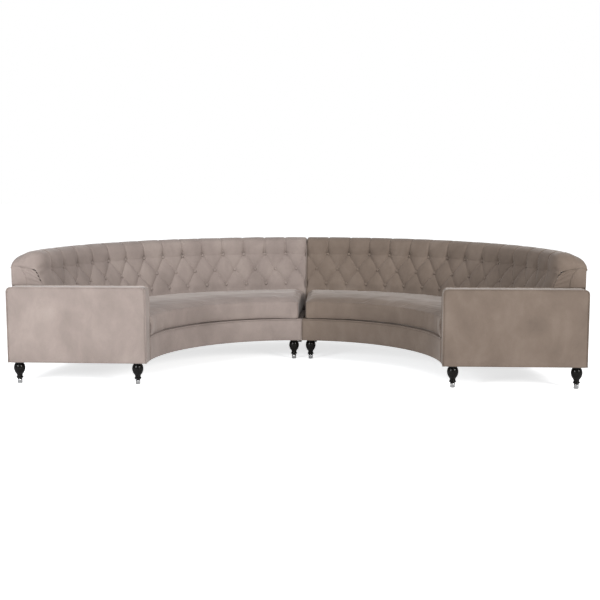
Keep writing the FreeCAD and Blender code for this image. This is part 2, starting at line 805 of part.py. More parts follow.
def back_section(column):
    """Corners of the back's section in order, each with the bend before it, if it has one."""
    low, middle, top = size("row_low"), size("row_middle"), size("row_top")
    base_height = size("base_proud")
    base_level = low - size("tuft_low_margin")
    foot = size("platform_top") + size("fit_gap")
    foot_step = base_height * math.sin(LEAN)
    corners = [(front_point(foot - foot_step, base_height), None),
               (front_point(base_level, base_height), None)]
    low_height = pad_height(column, low)
    share = 0.2 if low_height < base_height else 0.7
    first_mid = front_point((base_level + low) / 2, base_height + (low_height - base_height) * share)
    corners.append((front_point(low, low_height), first_mid))
    levels = [low, (low + middle) / 2, middle, (middle + top) / 2, top]
    corners += [(front_point(level, pad_height(column, level)), None) for level in levels[1:]]
    for point, bulge in zip(roll_points(column), ROLL_BULGES):
        corners.append((point, bulged(corners[-1][0], point, bulge)))
    rear = size("outside_inner") - size("fit_gap")
    corners.append(((rear, size("lip_level")), None))
    corners.append(((rear, size("pad_rear_level")), None))
    corners.append((board_point(size("pad_rear_level")), None))
    corners.append((board_point(foot), None))
    return corners


def board_point(level):
    """The board's front face at a level."""
    return front_point(level, 0)[0] + size("board_front"), level


def at_angle(angle):
    """A radial plane of the section."""
    turn = math.radians(angle)
    return lambda point: Vector(point[0] * math.sin(turn), point[0] * math.cos(turn), point[1])


def beside_seam(across):
    """A plane parallel to the seam."""
    return lambda point: Vector(across, math.sqrt(point[0] ** 2 - across ** 2), point[1])


def behind_arm(deep):
    """A plane parallel to the arm."""
    return lambda point: Vector(math.sqrt(point[0] ** 2 - deep ** 2), deep, point[1])


def section_wire(corners, plane):
    """A closed section in a plane, through its corners and bends."""
    points = [plane(point) for corner, bend in corners for point in (bend, corner) if point]
    return Part.makePolygon(points + points[:1])


def drawn_in(corners, goals, share):
    """A section whose corners have moved towards goals, each (point, weight), by a share."""
    moved = []
    for index, (point, bend) in enumerate(corners):
        goal, weight = goals.get(index, (point, 0))
        before_goal, before_weight = goals.get(index - 1, (corners[index - 1][0], 0))
        if bend:
            flat = bulged(before_goal, goal, END_BULGE)
            bend = between(bend, flat, share * max(weight, before_weight))
        moved.append((between(point, goal, share * weight), bend))
    return moved


def quarter_turn(count):
    """Steps of a rounded edge: how far its face is from the end, and how far it is drawn in."""
    for step in range(count + 1):
        angle = math.radians(90 * step / count)
        yield 1 - math.sin(angle), 1 - math.cos(angle)


END_BULGE = 2
(FOOT, BASE, LOW, LOW_VALLEY, MIDDLE, HIGH_VALLEY, TOP, FRONT, CREST, SHOULDER, REAR, LIP,
 LIP_INNER, RAIL_REAR, BOARD_HIGH, BOARD_LOW) = range(16)


def seam_goals(section):
    """The rounded edge beside the seam: points of the front and the roll, moved towards the heart."""
    heart = (section[CREST][0][0] + 20, section[TOP][0][1])
    goals = {}
    for index in range(LOW, REAR + 1):
        point = section[index][0]
        goals[index] = (between(point, heart, size("seam_rounding") / math.dist(point, heart)), 1)
    return goals


def arm_goals():
    """The end above the arm: the outline of the flat facing, which the roll is gathered to."""
    def beside_facing(across, level):
        return math.hypot(across, size("section_end")), level

    inner, outer = size("facing_inner"), size("facing_outer")
    high_inner, high, low = size("facing_high_inner"), size("facing_high"), size("facing_low")
    sag = size("facing_curve") - math.sqrt(size("facing_curve") ** 2
                                           - math.dist((inner, low), (high_inner, high)) ** 2 / 4)
    curve_middle = bulged((inner, low), (high_inner, high), sag)
    return {
        MIDDLE: (beside_facing(inner, low - 30), 0.5),
        HIGH_VALLEY: (beside_facing(inner, low + 20), 1),
        TOP: (beside_facing(*curve_middle), 1),
        FRONT: (beside_facing(*between(curve_middle, (high_inner, high), 0.6)), 1),
        CREST: (beside_facing(high_inner, high), 1),
        SHOULDER: (beside_facing(outer - 16, high), 1),
        REAR: (beside_facing(outer, high - 10), 1),
        BOARD_HIGH: (beside_facing(outer - 30, size("pad_rear_level")), 1),
    }


plain_section = back_section(PLAIN)
wires = []
for depth, share in reversed(list(quarter_turn(2))):
    across = size("section_start") + size("seam_rounding") * depth
    wires.append(section_wire(drawn_in(plain_section, seam_goals(plain_section), share),
                              beside_seam(across)))
column_pitch = (90 - size("tuft_end_zone")) / size("tuft_columns")
column_sections = [back_section(BUTTON_COLUMN), back_section(MIDDLE_COLUMN)]


def column_wires(first, last):
    """Sections at every half of the column pitch."""
    return [section_wire(column_sections[step % 2], at_angle(column_pitch * step / 2))
            for step in range(first, last + 1)]


wires += column_wires(1, 2 * int(size("tuft_columns")))
for depth, share in quarter_turn(4):
    deep = size("section_end") + size("end_rounding") * depth
    wires.append(section_wire(drawn_in(plain_section, arm_goals(), share), behind_arm(deep)))
tufted_back = Part.makeLoft(wires, True, True)
pieces.append(finish(shaped("TuftedBack", tufted_back), "right_tufted_back"))

# Buttons, covered in the same cloth and pulled into the dips

BUTTON_SIDES = 6


def button(angle, level, seat):
    """A low crowned button, its rim at a height above the dip at an angle from the seam and a level."""
    turn = math.radians(angle)
    outward = Vector(-math.cos(LEAN) * math.sin(turn), -math.cos(LEAN) * math.cos(turn), math.sin(LEAN))
    dip = at_angle(angle)(front_point(level, 0))
    rims = []
    for height, radius in ((seat, size("button_radius")),
                           (seat + size("button_crown"), size("button_radius") / 2)):
        rim = Part.makePolygon([Vector(radius * math.cos(2 * math.pi * k / BUTTON_SIDES),
                                       radius * math.sin(2 * math.pi * k / BUTTON_SIDES), 0)
                                for k in range(BUTTON_SIDES + 1)])
        rim.Placement = FreeCAD.Placement(dip + outward * height, FreeCAD.Rotation(Vector(0, 0, 1), outward))
        rims.append(rim)
    return Part.makeLoft(rims, True, True)


SEAT_STEPS = 4
two_columns = Part.makeLoft(column_wires(0, 3), True, True)


def seat_height(angle, level):
    """Height of a button's rim where it rests against the sides of its dip."""
    seat = size("tuft_depth")
    for _ in range(SEAT_STEPS):
        seat -= button(angle, level, seat).distToShape(two_columns)[0] - size("fit_gap")
    return seat


ROWS = (("row_middle", 0.5), ("row_low", 1), ("row_top", 1))
buttons = []
for row, offset in ROWS:
    seat = seat_height(column_pitch * offset, size(row))
    buttons += [button(column_pitch * (column + offset), size(row), seat)
                for column in range(int(size("tuft_columns")))]
pieces.append(finish(shaped("BackButtons", Part.makeCompound(buttons)), "right_back_buttons"))

# Seam panel: the covered end of the section, as high as the platform and the back

end_section = drawn_in(plain_section, seam_goals(plain_section), 1)
front_radius = end_section[FOOT][0][0]
panel_outline = [((size("inner_radius"), size("leg_height")), None),
                 ((size("inner_radius"), size("platform_top")), None),
                 ((front_radius, size("platform_top")), None)]
panel_outline += end_section[FOOT:LIP]
panel_outline += [((size("outer_radius"), size("lip_level")), None),
                  ((size("outer_radius"), size("leg_height")), None)]
panel_wire = section_wire(panel_outline, lambda point: Vector(size("seam_plane"), point[0], point[1]))
panel = Part.Face(panel_wire).extrude(Vector(size("seam_panel_thickness"), 0, 0))
pieces.append(finish(shaped("SeamPanel", panel), "right_seam_panel"))

# Seat cushion: a crown on top, a full front, and ends and corners drawn in


def cushion_section():
    """Corners of the cushion's section, from its lower front edge round by the front and the top."""
    def rear_radius(level):
        """The radius just in front of the back's lower part at a level."""
        proud = size("base_proud")
        return front_point(level - proud * math.sin(LEAN), proud)[0] - size("cushion_rear_gap")

    low = size("platform_top") + size("cushion_lift")
    front_top, rear_top = size("cushion_front_top"), size("cushion_rear_top")
    edge = size("inner_radius") - size("cushion_overhang")
    corner = size("cushion_corner")
    rear_low = rear_radius(low)
    rear_high = rear_radius(rear_top - corner)
    points = [
        ((edge + corner, low), None),
        ((edge, low + corner), "corner"),
        ((edge, front_top - corner), "side"),
        ((edge + corner, front_top), "corner"),
        ((rear_high - corner, rear_top), "top"),
        ((rear_high, rear_top - corner / 2), "corner"),
        ((rear_low, low + corner / 2), None),
        ((rear_low - corner / 2, low), None),
    ]
    bulges = {"corner": corner * (math.sqrt(2) - 1) / 2, "side": size("cushion_side_bulge"),
              "top": size("cushion_crown")}
    return [(point, bulges[kind] and bulged(points[index - 1][0], point, bulges[kind]) if kind else None)
            for index, (point, kind) in enumerate(points)]


def towards_heart(section, distance):
    """Goals that draw every corner of a section in by a distance, its underside apart."""
    points = [point for point, _ in section]
    heart = (sum(p[0] for p in points) / len(points), sum(p[1] for p in points) / len(points))
    low = min(p[1] for p in points)
    return {index: (between(point, (heart[0], max(point[1] - distance, low)),
                            distance / abs(point[0] - heart[0])), 1)
            for index, point in enumerate(points)}


cushion = cushion_section()
rounding = size("cushion_end_rounding")
goals = towards_heart(cushion, rounding)
cushion_wires = []
for depth, share in reversed(list(quarter_turn(2))):
    across = size("seam_plane") + size("fit_gap") + rounding * depth
    cushion_wires.append(section_wire(drawn_in(cushion, goals, share), beside_seam(across)))
steps = int(size("cushion_steps"))
for step in range(1, steps):
    cushion_wires.append(section_wire(cushion, at_angle(90 * step / steps)))
for depth, share in quarter_turn(2):
    deep = size("section_end") + size("fit_gap") + rounding * depth
    cushion_wires.append(section_wire(drawn_in(cushion, goals, share), behind_arm(deep)))
pieces.append(finish(shaped("SeatCushion", Part.makeLoft(cushion_wires, True, True)),
                     "right_seat_cushion"))

# The left section mirrors the right one

left_pieces = []
for piece in pieces:
    mirror = doc.addObject("Part::Mirroring", "Left" + piece.Name)
    mirror.Source = piece
    mirror.Normal = Vector(1, 0, 0)
    mirror.Label = piece.Label.replace("right", "left")
    left_pieces.append(mirror)
pieces += left_pieces

# Section connectors: tongues under the right section that slide into sockets under the left one


def connector_pair(name, make):
    """One connector part at each of the two places along the seam."""
    return group(name, [make(f"{name}{n}", place)
                        for n, place in enumerate(("connector_front", "connector_rear"), 1)])


def tongue(name, place):
    blade = add("Part::Box", name + "Blade", Length="tongue_reach + seam_plane + connector_length",
                Width="tongue_width", Height="tongue_thickness", Placement__Base__x="-tongue_reach",
                Placement__Base__y=f"{place} - tongue_width / 2", Placement__Base__z="tongue_low")
    spacer = add("Part::Box", name + "Spacer", Length="connector_length", Width="tongue_width",
                 Height="leg_height - tongue_top", Placement__Base__x="seam_plane",
                 Placement__Base__y=f"{place} - tongue_width / 2", Placement__Base__z="tongue_top")
    whole = doc.addObject("Part::Fuse", name)
    whole.Base = blade
    whole.Tool = spacer
    return whole


def socket(name, place):
    shell = add("Part::Box", name + "Shell", Length="connector_length",
                Width="tongue_width + 2 * (connector_wall + fit_gap)", Height="leg_height - socket_low",
                Placement__Base__x="-seam_plane - connector_length",
                Placement__Base__y=f"{place} - tongue_width / 2 - connector_wall - fit_gap",
                Placement__Base__z="socket_low")
    slot = add("Part::Box", name + "Slot", Length="connector_length",
               Width="tongue_width + 2 * fit_gap", Height="tongue_thickness + 2 * fit_gap",
               Placement__Base__x="-seam_plane - connector_length",
               Placement__Base__y=f"{place} - tongue_width / 2 - fit_gap",
               Placement__Base__z="tongue_low - fit_gap")
    return cut(name, shell, slot)


pieces.append(finish(connector_pair("Tongue", tongue), "right_connector_tongues"))
pieces.append(finish(connector_pair("Socket", socket), "left_connector_sockets"))

# Check every object, then write each piece to its own file

doc.recompute()
faults = [item.Name for item in doc.Objects if "Invalid" in item.State or "Error" in item.State]
faults += [piece.Label for piece in pieces if piece.Shape.isNull() or not piece.Shape.isValid()]
if faults:
    raise ValueError("these objects are faulty: " + ", ".join(faults))
os.makedirs("parts", exist_ok=True)
for piece in pieces:
    piece.Shape.exportStep(f"parts/{piece.Label}.step")
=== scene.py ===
import json
import math

import bmesh
import bpy
import numpy as np
from mathutils import Matrix, Vector
from mathutils.bvhtree import BVHTree


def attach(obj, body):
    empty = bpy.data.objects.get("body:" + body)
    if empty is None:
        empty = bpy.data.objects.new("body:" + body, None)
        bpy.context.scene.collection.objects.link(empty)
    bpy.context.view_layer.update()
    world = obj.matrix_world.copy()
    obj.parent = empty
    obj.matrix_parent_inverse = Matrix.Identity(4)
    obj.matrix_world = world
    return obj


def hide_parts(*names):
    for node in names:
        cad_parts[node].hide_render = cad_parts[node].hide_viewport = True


# Curved sofa in two quarter-circle sections, in metres. The arc's centre is at x = 0, y = ARC_Y.
# Every piece of a section is made for the right side, and mirrored in x for the left one.

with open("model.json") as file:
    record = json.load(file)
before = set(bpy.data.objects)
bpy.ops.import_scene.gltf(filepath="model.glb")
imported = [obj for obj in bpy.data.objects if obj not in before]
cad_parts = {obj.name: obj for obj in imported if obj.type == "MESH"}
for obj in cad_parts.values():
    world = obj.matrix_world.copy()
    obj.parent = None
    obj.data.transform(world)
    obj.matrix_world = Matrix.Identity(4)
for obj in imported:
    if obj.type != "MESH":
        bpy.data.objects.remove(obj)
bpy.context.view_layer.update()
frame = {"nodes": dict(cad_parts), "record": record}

ARC_Y = -0.955586
SIDES = {"right": 1, "left": -1}
INNER, OUTER = 0.991, 1.938  # radii of the platform's front and of the outside back
SEAM_FACE, ARM_FACE = 0.005, 0.0903  # a section's ends, from the seam and from the arc's centre line
LEG_TOP, PLATFORM, ARM_TOP, BACK_TOP = 0.152, 0.315, 0.664, 0.893  # levels
LEAN = math.radians(22.9)  # of the back from upright
PITCH = math.radians(5.76)  # angle between the columns of buttons
COLUMNS = 14
LOW_ROW, MIDDLE_ROW, TOP_ROW = 0.524, 0.637, 0.758  # levels of the rows of buttons
TUFT, PLAIN = 0.026, 0.022  # height of the pads, and of the plain pad, over the line of the buttons
BASE_PROUD, BASE_LEVEL = 0.014, 0.486  # the plain band behind the cushion, and where it ends
ROW_RADIUS = 1.750  # radius that column angles and end distances are measured at


# Meshes

def finish_mesh(name, bm, smooth=True):
    """Turns a bmesh into an object at the origin, with its faces outward."""
    bmesh.ops.recalc_face_normals(bm, faces=bm.faces)
    mesh = bpy.data.meshes.new(name)
    bm.to_mesh(mesh)
    bm.free()
    for polygon in mesh.polygons:
        polygon.use_smooth = smooth
    item = bpy.data.objects.new(name, mesh)
    bpy.context.scene.collection.objects.link(item)
    return item


def skin(bm, points):
    """Adds a grid whose vertices lie at points[column, row], welded where columns or rows meet."""
    columns, rows = points.shape[:2]
    made = bmesh.ops.create_grid(bm, x_segments=columns - 1, y_segments=rows - 1, size=1)["verts"]
    flat = np.array([v.co[:] for v in made])
    column = np.rint((flat[:, 0] + 1) / 2 * (columns - 1)).astype(int)
    row = np.rint((flat[:, 1] + 1) / 2 * (rows - 1)).astype(int)
    for vert, place in zip(made, points[column, row]):
        vert.co = place
    bmesh.ops.remove_doubles(bm, verts=made, dist=1e-5)


def close_ends(bm):
    """Fills every open loop of a bmesh."""
    border = [edge for edge in bm.edges if edge.is_boundary]
    if border:
        bmesh.ops.edgeloop_fill(bm, edges=border)


def curve(keys, counts):
    """A smooth line through keys, with a count of steps from each key to the next."""
    keys = np.asarray(keys, float)
    padded = np.vstack([2 * keys[0] - keys[1], keys, 2 * keys[-1] - keys[-2]])
    line = []
    for index, count in enumerate(counts):
        p0, p1, p2, p3 = padded[index:index + 4]
        for t in np.linspace(0, 1, count, endpoint=False):
            line.append(0.5 * (2 * p1 + (p2 - p0) * t + (2 * p0 - 5 * p1 + 4 * p2 - p3) * t ** 2
                               + (3 * p1 - p0 - 3 * p2 + p3) * t ** 3))
    line.append(keys[-1])
    return np.array(line)


def line(first, last, count):
    """Points from first up to, but not including, last."""
    return np.linspace(first, last, count, endpoint=False)


def normals(section):
    """Unit vectors across a section, to the left of its run."""
    run = np.gradient(section, axis=0)
    run /= np.linalg.norm(run, axis=1)[:, None]
    return np.stack([-run[:, 1], run[:, 0]], 1)


SEAM_EASE, ARM_EASE = 0.06, 0.13  # how far from its flat ends a swept section is eased into them


def swept(angles, section, ends=(None, None)):
    """A section (radius, level) turned to each angle from the seam, with its ends cut flat."""
    angles = np.asarray(angles)[:, None]
    radius = np.broadcast_to(section[..., 0], (len(angles), section.shape[-2]))
    level = np.broadcast_to(section[..., 1], radius.shape)
    across, deep = radius * np.sin(angles), radius * np.cos(angles)
    seam, arm = ends
    if seam is not None:
        weight = np.clip(1 - (ROW_RADIUS * np.sin(angles) - seam) / SEAM_EASE, 0, 1)
        across = across + (ROW_RADIUS * np.sin(angles) - across) * weight
        deep = np.sqrt(np.maximum(radius ** 2 - across ** 2, 0))
    if arm is not None:
        weight = np.clip(1 - (ROW_RADIUS * np.cos(angles) - arm) / ARM_EASE, 0, 1)
        deep = deep + (ROW_RADIUS * np.cos(angles) - deep) * weight
        across = np.sqrt(np.maximum(radius ** 2 - deep ** 2, 0))
    return np.stack([across, deep + ARC_Y, level], 2)


def mirrored(points, sign):
    """Points of the right section, or of the left one where the sign is -1."""
    return points * np.array([sign, 1, 1])


def arc_angles(radius, seam, arm, count):
    """Angles from the plane beside the seam to the plane behind the arm, at a radius."""
    return np.linspace(math.asin(seam / radius), math.acos(arm / radius), count)


def tube(path, radius, sides=10):
    """Points of a round welt along a path."""
    path = np.asarray(path, float)
    run = np.gradient(path, axis=0)
    run /= np.linalg.norm(run, axis=1)[:, None]
    side = np.cross(run[0], [0.3, 0.2, 1])
    rings = []
    for place, along in zip(path, run):
        side = side - along * np.dot(side, along)
        side /= np.linalg.norm(side)
        other = np.cross(along, side)
        turn = np.linspace(0, 2 * math.pi, sides + 1)[:, None]
        rings.append(place + radius * (np.cos(turn) * side + np.sin(turn) * other))
    return np.array(rings)


# Soft irregularities: a few long waves with fixed phases, so that nothing is perfectly even

def unevenness(points, size, height, seed):
    """Low waves of about a size over points."""
    source = np.random.default_rng(seed)
    total = np.zeros(points.shape[:-1])
    for _ in range(7):
        way = source.normal(size=3)
        way *= 2 * math.pi / (size * source.uniform(0.7, 1.6)) / np.linalg.norm(way)
        total += np.sin(points @ way + source.uniform(0, 2 * math.pi))
    return height * total / 7 * 1.6


def creases(points, folds):
    """Depth of cloth folds: each (place, way, length, width, depth) is a crease with a ridge beside it."""
    total = np.zeros(points.shape[:-1])
    for place, way, length, width, depth in folds:
        offset = points - np.array(place)
        way = np.array(way, float) / np.linalg.norm(way)
        along = offset @ way
        off = np.linalg.norm(offset - along[..., None] * way, axis=-1)
        sign = np.sign(offset @ np.cross(way, [0.2, -0.5, 0.84]))
        fade = np.exp(-(along / length) ** 2)
        total += depth * fade * (-np.exp(-(off / width) ** 2)
                                 + 0.7 * np.exp(-((off - 1.6 * width) / width) ** 2) * (sign > 0))
    return total


# The tufted back

BUTTON_LINE = ROW_RADIUS - 0.0511  # radius of the middle row
BOARD_BEHIND = 0.0163  # from the line of the buttons to the board, along the radius


def back_radius(level):
    """Radius of the leaning line of the buttons."""
    return BUTTON_LINE + (level - MIDDLE_ROW) * math.tan(LEAN)


def before_line(level, height):
    """A point (radius, level) in front of the leaning line of the buttons."""
    level, height = np.broadcast_arrays(np.asarray(level, float), np.asarray(height, float))
    return np.stack([back_radius(level) - height * math.cos(LEAN), level + height * math.sin(LEAN)], -1)


def pad_edge(t):
    """From 0 at a whole number to 1 halfway between two."""
    part = t - np.floor(t)
    return 1 - np.abs(2 * part - 1) ** 2.4


def tuft_height(u, level):
    """Height of the buttoned cover over the line of the buttons."""
    spacing = np.where(level > MIDDLE_ROW, TOP_ROW - MIDDLE_ROW, MIDDLE_ROW - LOW_ROW)
    v = np.clip(1 + (level - MIDDLE_ROW) / spacing, 0, 2)
    first, second = pad_edge(u + v / 2), pad_edge(u - v / 2)
    pad = np.sqrt(first * second)
    floor = 0.010 * (1 - (1 - first) * (1 - second)) ** 1.5
    return floor + (TUFT - floor) * pad


def smooth_step(low, high, value):
    """From 0 at low to 1 at high, without a corner."""
    t = np.clip((value - low) / (high - low), 0, 1)
    return t * t * (3 - 2 * t)


# One section of the pad: foot, plain band, buttoned rows, roll, and the flat side against the board
roll_front = before_line(0.835, 0)[0] - 0.044
roll_width = 1.955 - roll_front
roll_keys = [before_line(TOP_ROW, PLAIN), (roll_front - 0.0072, 0.798), (roll_front - 0.0014, 0.832),
             (roll_front + 0.0185, 0.872), (roll_front + 0.3 * roll_width, BACK_TOP),
             (roll_front + 0.52 * roll_width, 0.8905), (roll_front + 0.7 * roll_width, 0.875),
             (1.932, 0.853), (1.955, 0.812), (1.9535, 0.792), (1.9385, 0.7765)]
LOWER_ROWS, TUFT_ROWS = 10, 40
FOOT_GAP, BOARD_TOP = 0.0004, 0.7723
foot_part = before_line(line(PLATFORM - 0.005, BASE_LEVEL, 4), BASE_PROUD)
foot_part[0, 1] = PLATFORM + FOOT_GAP
low_levels = line(BASE_LEVEL, LOW_ROW, LOWER_ROWS)
tuft_levels = line(LOW_ROW, TOP_ROW, TUFT_ROWS)
roll_part = curve(roll_keys, [6, 6, 6, 8, 7, 7, 7, 7, 4, 4])
board_low = (back_radius(PLATFORM) + BOARD_BEHIND, PLATFORM + FOOT_GAP)
board_high = (back_radius(BOARD_TOP) + BOARD_BEHIND, BOARD_TOP)
rear_keys = [(1.9297, 0.776), (1.9297, BOARD_TOP), board_high, board_low, (foot_part[0, 0], foot_part[0, 1])]
rear_part = np.vstack([line(a, b, n) for a, b, n in zip(rear_keys, rear_keys[1:], (1, 2, 4, 1))]
                      + [[rear_keys[-1]]])
lower = before_line(low_levels,
                    BASE_PROUD + (PLAIN - BASE_PROUD) * smooth_step(BASE_LEVEL, LOW_ROW, low_levels))
plain_section = np.vstack([foot_part, lower, before_line(tuft_levels, PLAIN), roll_part, rear_part])
outward = normals(plain_section)
first_tuft = len(foot_part)
first_roll = first_tuft + LOWER_ROWS + TUFT_ROWS
last_roll = first_roll + len(roll_part)

# Above the arm the pad is drawn down to the board and the roll to the top of the flat facing
FACING_IN, FACING_OUT, FACING_LOW, FACING_HIGH = 1.8299, 1.9359, 0.6681, 0.795
FACING_HIGH_IN = 1.8829
END_BEHIND = 0.012  # the pad's end, behind the line of the buttons and just before the board
goal_keys = [(back_radius(TOP_ROW) + END_BEHIND, TOP_ROW), (1.800, 0.779), (1.848, 0.791),
             (FACING_HIGH_IN, FACING_HIGH), (FACING_OUT - 0.016, FACING_HIGH),
             (FACING_OUT, FACING_HIGH - 0.010), (FACING_OUT, 0.7765)]
row_level = np.concatenate([foot_part[:, 1], low_levels, tuft_levels])
half_rows = TUFT_ROWS // 2
goal_rows = [first_roll, first_roll + 10, first_roll + 20, first_roll + 30, first_roll + 42, first_roll + 54,
             last_roll - 1]
goal = plain_section.copy()
goal_weight = np.zeros(len(plain_section))
goal_line = curve(goal_keys, np.diff(goal_rows))
goal[goal_rows[0]:goal_rows[-1] + 1] = goal_line
goal_weight[goal_rows[0]:goal_rows[-1] + 1] = np.interp(
    np.arange(goal_rows[0], goal_rows[-1] + 1), [goal_rows[0], goal_rows[-2], goal_rows[-1]], [1, 1, 0.2])
before = np.arange(first_tuft, goal_rows[0])
goal_weight[before] = smooth_step(first_tuft, goal_rows[0] - half_rows, before)
goal[before] = np.stack([back_radius(row_level[before]) + END_BEHIND, row_level[before]], 1)
goal[:, 0] = np.hypot(goal[:, 0], ARM_FACE)

# Where sections stand, counted in columns from the seam: even steps, then closer ones towards each end
steps = np.arange(1, COLUMNS * 40 + 24) / 40
end_u = math.acos(ARM_FACE / ROW_RADIUS) / PITCH
rounding_start = math.acos((ARM_FACE + ARM_EASE) / ROW_RADIUS) / PITCH
steps = steps[steps < rounding_start - 0.02]
end_steps = rounding_start + (end_u - rounding_start) * np.sin(np.linspace(0, math.pi / 2, 26))
start = math.asin(SEAM_FACE / ROW_RADIUS) / PITCH
seam_steps = [start, start + 0.004, start + 0.012]
column_u = np.concatenate([seam_steps, steps[steps > start + 0.018], end_steps])


def tufted_back(side, sign):
    """The deep-buttoned pad with its rolled top, pleated over the roll from every top button."""
    seed = 11 if side == "right" else 23
    u = column_u[:, None]
    section = np.broadcast_to(plain_section, (len(column_u),) + plain_section.shape).copy()
    count = first_roll
    levels = row_level[None, :]
    reach = 1 - smooth_step(COLUMNS, COLUMNS + 0.45, u)
    tufted = PLAIN + (tuft_height(u, levels) - PLAIN) * reach
    rise = smooth_step(BASE_LEVEL - 0.02, LOW_ROW + 0.004, levels)
    height = BASE_PROUD + (tufted - BASE_PROUD) * rise
    is_column = (np.rint(u) >= 1) & (np.rint(u) <= COLUMNS)
    shape = (len(column_u), count - first_tuft)
    section[:, first_tuft:count] = before_line(np.broadcast_to(levels[:, first_tuft:], shape),
                                               height[:, first_tuft:])
    roll_steps = np.linalg.norm(np.diff(roll_part, axis=0), axis=1)
    along = np.concatenate([[0], np.cumsum(roll_steps)])[None, :]
    dip = (tufted[:, -1:] - PLAIN) * np.exp(-along / 0.030) * reach
    source = np.random.default_rng(seed)
    sway = source.uniform(-0.4, 0.4, COLUMNS + 2)[np.rint(column_u).astype(int)][:, None]
    off = np.abs((u - np.rint(u)) * PITCH * ROW_RADIUS - sway * along * 0.12)
    pleat = -0.0075 * np.exp(-(off / 0.0065) ** 2) * np.exp(-(along / 0.24) ** 4) * is_column
    between = 0.004 * (1 - np.exp(-(off / 0.03) ** 2)) * np.exp(-along / 0.12) * (u < COLUMNS + 0.2)
    push = (dip + pleat + between)[..., None] * outward[first_roll:last_roll]
    section[:, first_roll:last_roll] += push
    # The edge beside the seam is rounded, and the end above the arm is gathered to the facing
    distance = np.clip((ROW_RADIUS * np.sin(u * PITCH) - SEAM_FACE) / 0.018, 0, 1)
    drawn = 1 - np.sqrt(np.maximum(1 - (1 - distance) ** 2, 0))
    section[:, first_tuft:last_roll] -= 0.012 * drawn[..., None] * outward[first_tuft:last_roll]
    distance = np.clip((ROW_RADIUS * np.cos(u * PITCH) - ARM_FACE) / ARM_EASE, 0, 1)
    share = (1 - np.sqrt(np.maximum(1 - (1 - distance) ** 2, 0)))[..., None]
    section += (goal - section) * share * goal_weight[:, None]
    fold = np.arange(len(plain_section)) - first_roll
    folds = 0.0028 * np.cos(fold * 0.52 + 1.3 * np.sin(fold * 0.21))
    folds = folds * np.clip(goal_weight * 1.4 - 0.4, 0, 1)
    strength = (share[..., 0] * (1 - share[..., 0]) * 3.2 * (distance < 1))
    section[:, :last_roll] += (folds[None, :last_roll] * strength)[..., None] * outward[:last_roll]
    points = swept(column_u * PITCH, section, (SEAM_FACE, ARM_FACE))
    points[0, :, 0] = SEAM_FACE
    points[-1, :, 1] = ARC_Y + ARM_FACE
    wave = unevenness(points, 0.16, 0.0011, seed)
    calm = np.zeros(section.shape[1])
    calm[first_tuft:last_roll] = 1
    inner = np.ones(len(column_u))
    inner[[0, -1]] = 0
    small = 0.001
    way = swept(column_u * PITCH, section + small * np.nan_to_num(outward)) - swept(column_u * PITCH, section)
    points += way / small * (wave * calm * inner[:, None])[..., None]
    bm = bmesh.new()
    skin(bm, mirrored(points, sign))
    close_ends(bm)
    item = finish_mesh(f"{side}_buttoned_back", bm)
    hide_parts(f"{side}_tufted_back")
    return item


def button_places():
    """Angle and level of every button of a section."""
    places = []
    for level, offset in ((MIDDLE_ROW, 0.5), (LOW_ROW, 1), (TOP_ROW, 1)):
        for column in range(COLUMNS):
            places.append(((column + offset) * PITCH, level))
    return places


BUTTON_RADIUS, BUTTON_FLATNESS, BUTTON_HEIGHT = 0.0122, 0.52, 0.0085


def buttons(side, sign):
    """Covered buttons: low domes with a rounded rim, sunk into the dips."""
    bm = bmesh.new()
    for angle, level in button_places():
        radius, height = before_line(level, BUTTON_HEIGHT)
        place = Vector((radius * math.sin(angle) * sign, ARC_Y + radius * math.cos(angle), height))
        way = Vector((-math.cos(LEAN) * math.sin(angle) * sign, -math.cos(LEAN) * math.cos(angle),
                      math.sin(LEAN)))
        made = bmesh.ops.create_uvsphere(bm, u_segments=14, v_segments=8, radius=BUTTON_RADIUS)["verts"]
        bmesh.ops.scale(bm, vec=(1, 1, BUTTON_FLATNESS), verts=made)
        turn = way.to_track_quat("Z", "Y").to_matrix().to_4x4()
        bmesh.ops.transform(bm, matrix=Matrix.Translation(place) @ turn, verts=made)
    item = finish_mesh(f"{side}_covered_buttons", bm)
    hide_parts(f"{side}_back_buttons")
    return item


# Flat upholstered panels and welts

def rounded_outline(corners, steps=9):
    """A closed outline through corners (x, z, radius), with arcs at the rounded ones."""
    outline = []
    count = len(corners)
    for index, (x, z, radius) in enumerate(corners):
        place = np.array([x, z])
        towards = [np.array(corners[(index + k) % count][:2]) - place for k in (-1, 1)]
        towards = [way / np.linalg.norm(way) for way in towards]
        first, last = (place + way * radius for way in towards)
        for t in (np.linspace(0, 1, steps) if radius > 1e-6 else [0.5]):
            outline.append((1 - t) ** 2 * first + 2 * t * (1 - t) * place + t * t * last)
    return np.array(outline)


def spread(outline, spacing):
    """A closed outline with its points at an even spacing."""
    loop = np.vstack([outline, outline[:1]])
    far = np.concatenate([[0], np.cumsum(np.linalg.norm(np.diff(loop, axis=0), axis=1))])
    places = np.linspace(0, far[-1], max(8, int(far[-1] / spacing)) + 1)
    return np.stack([np.interp(places, far, loop[:, k]) for k in (0, 1)], 1)


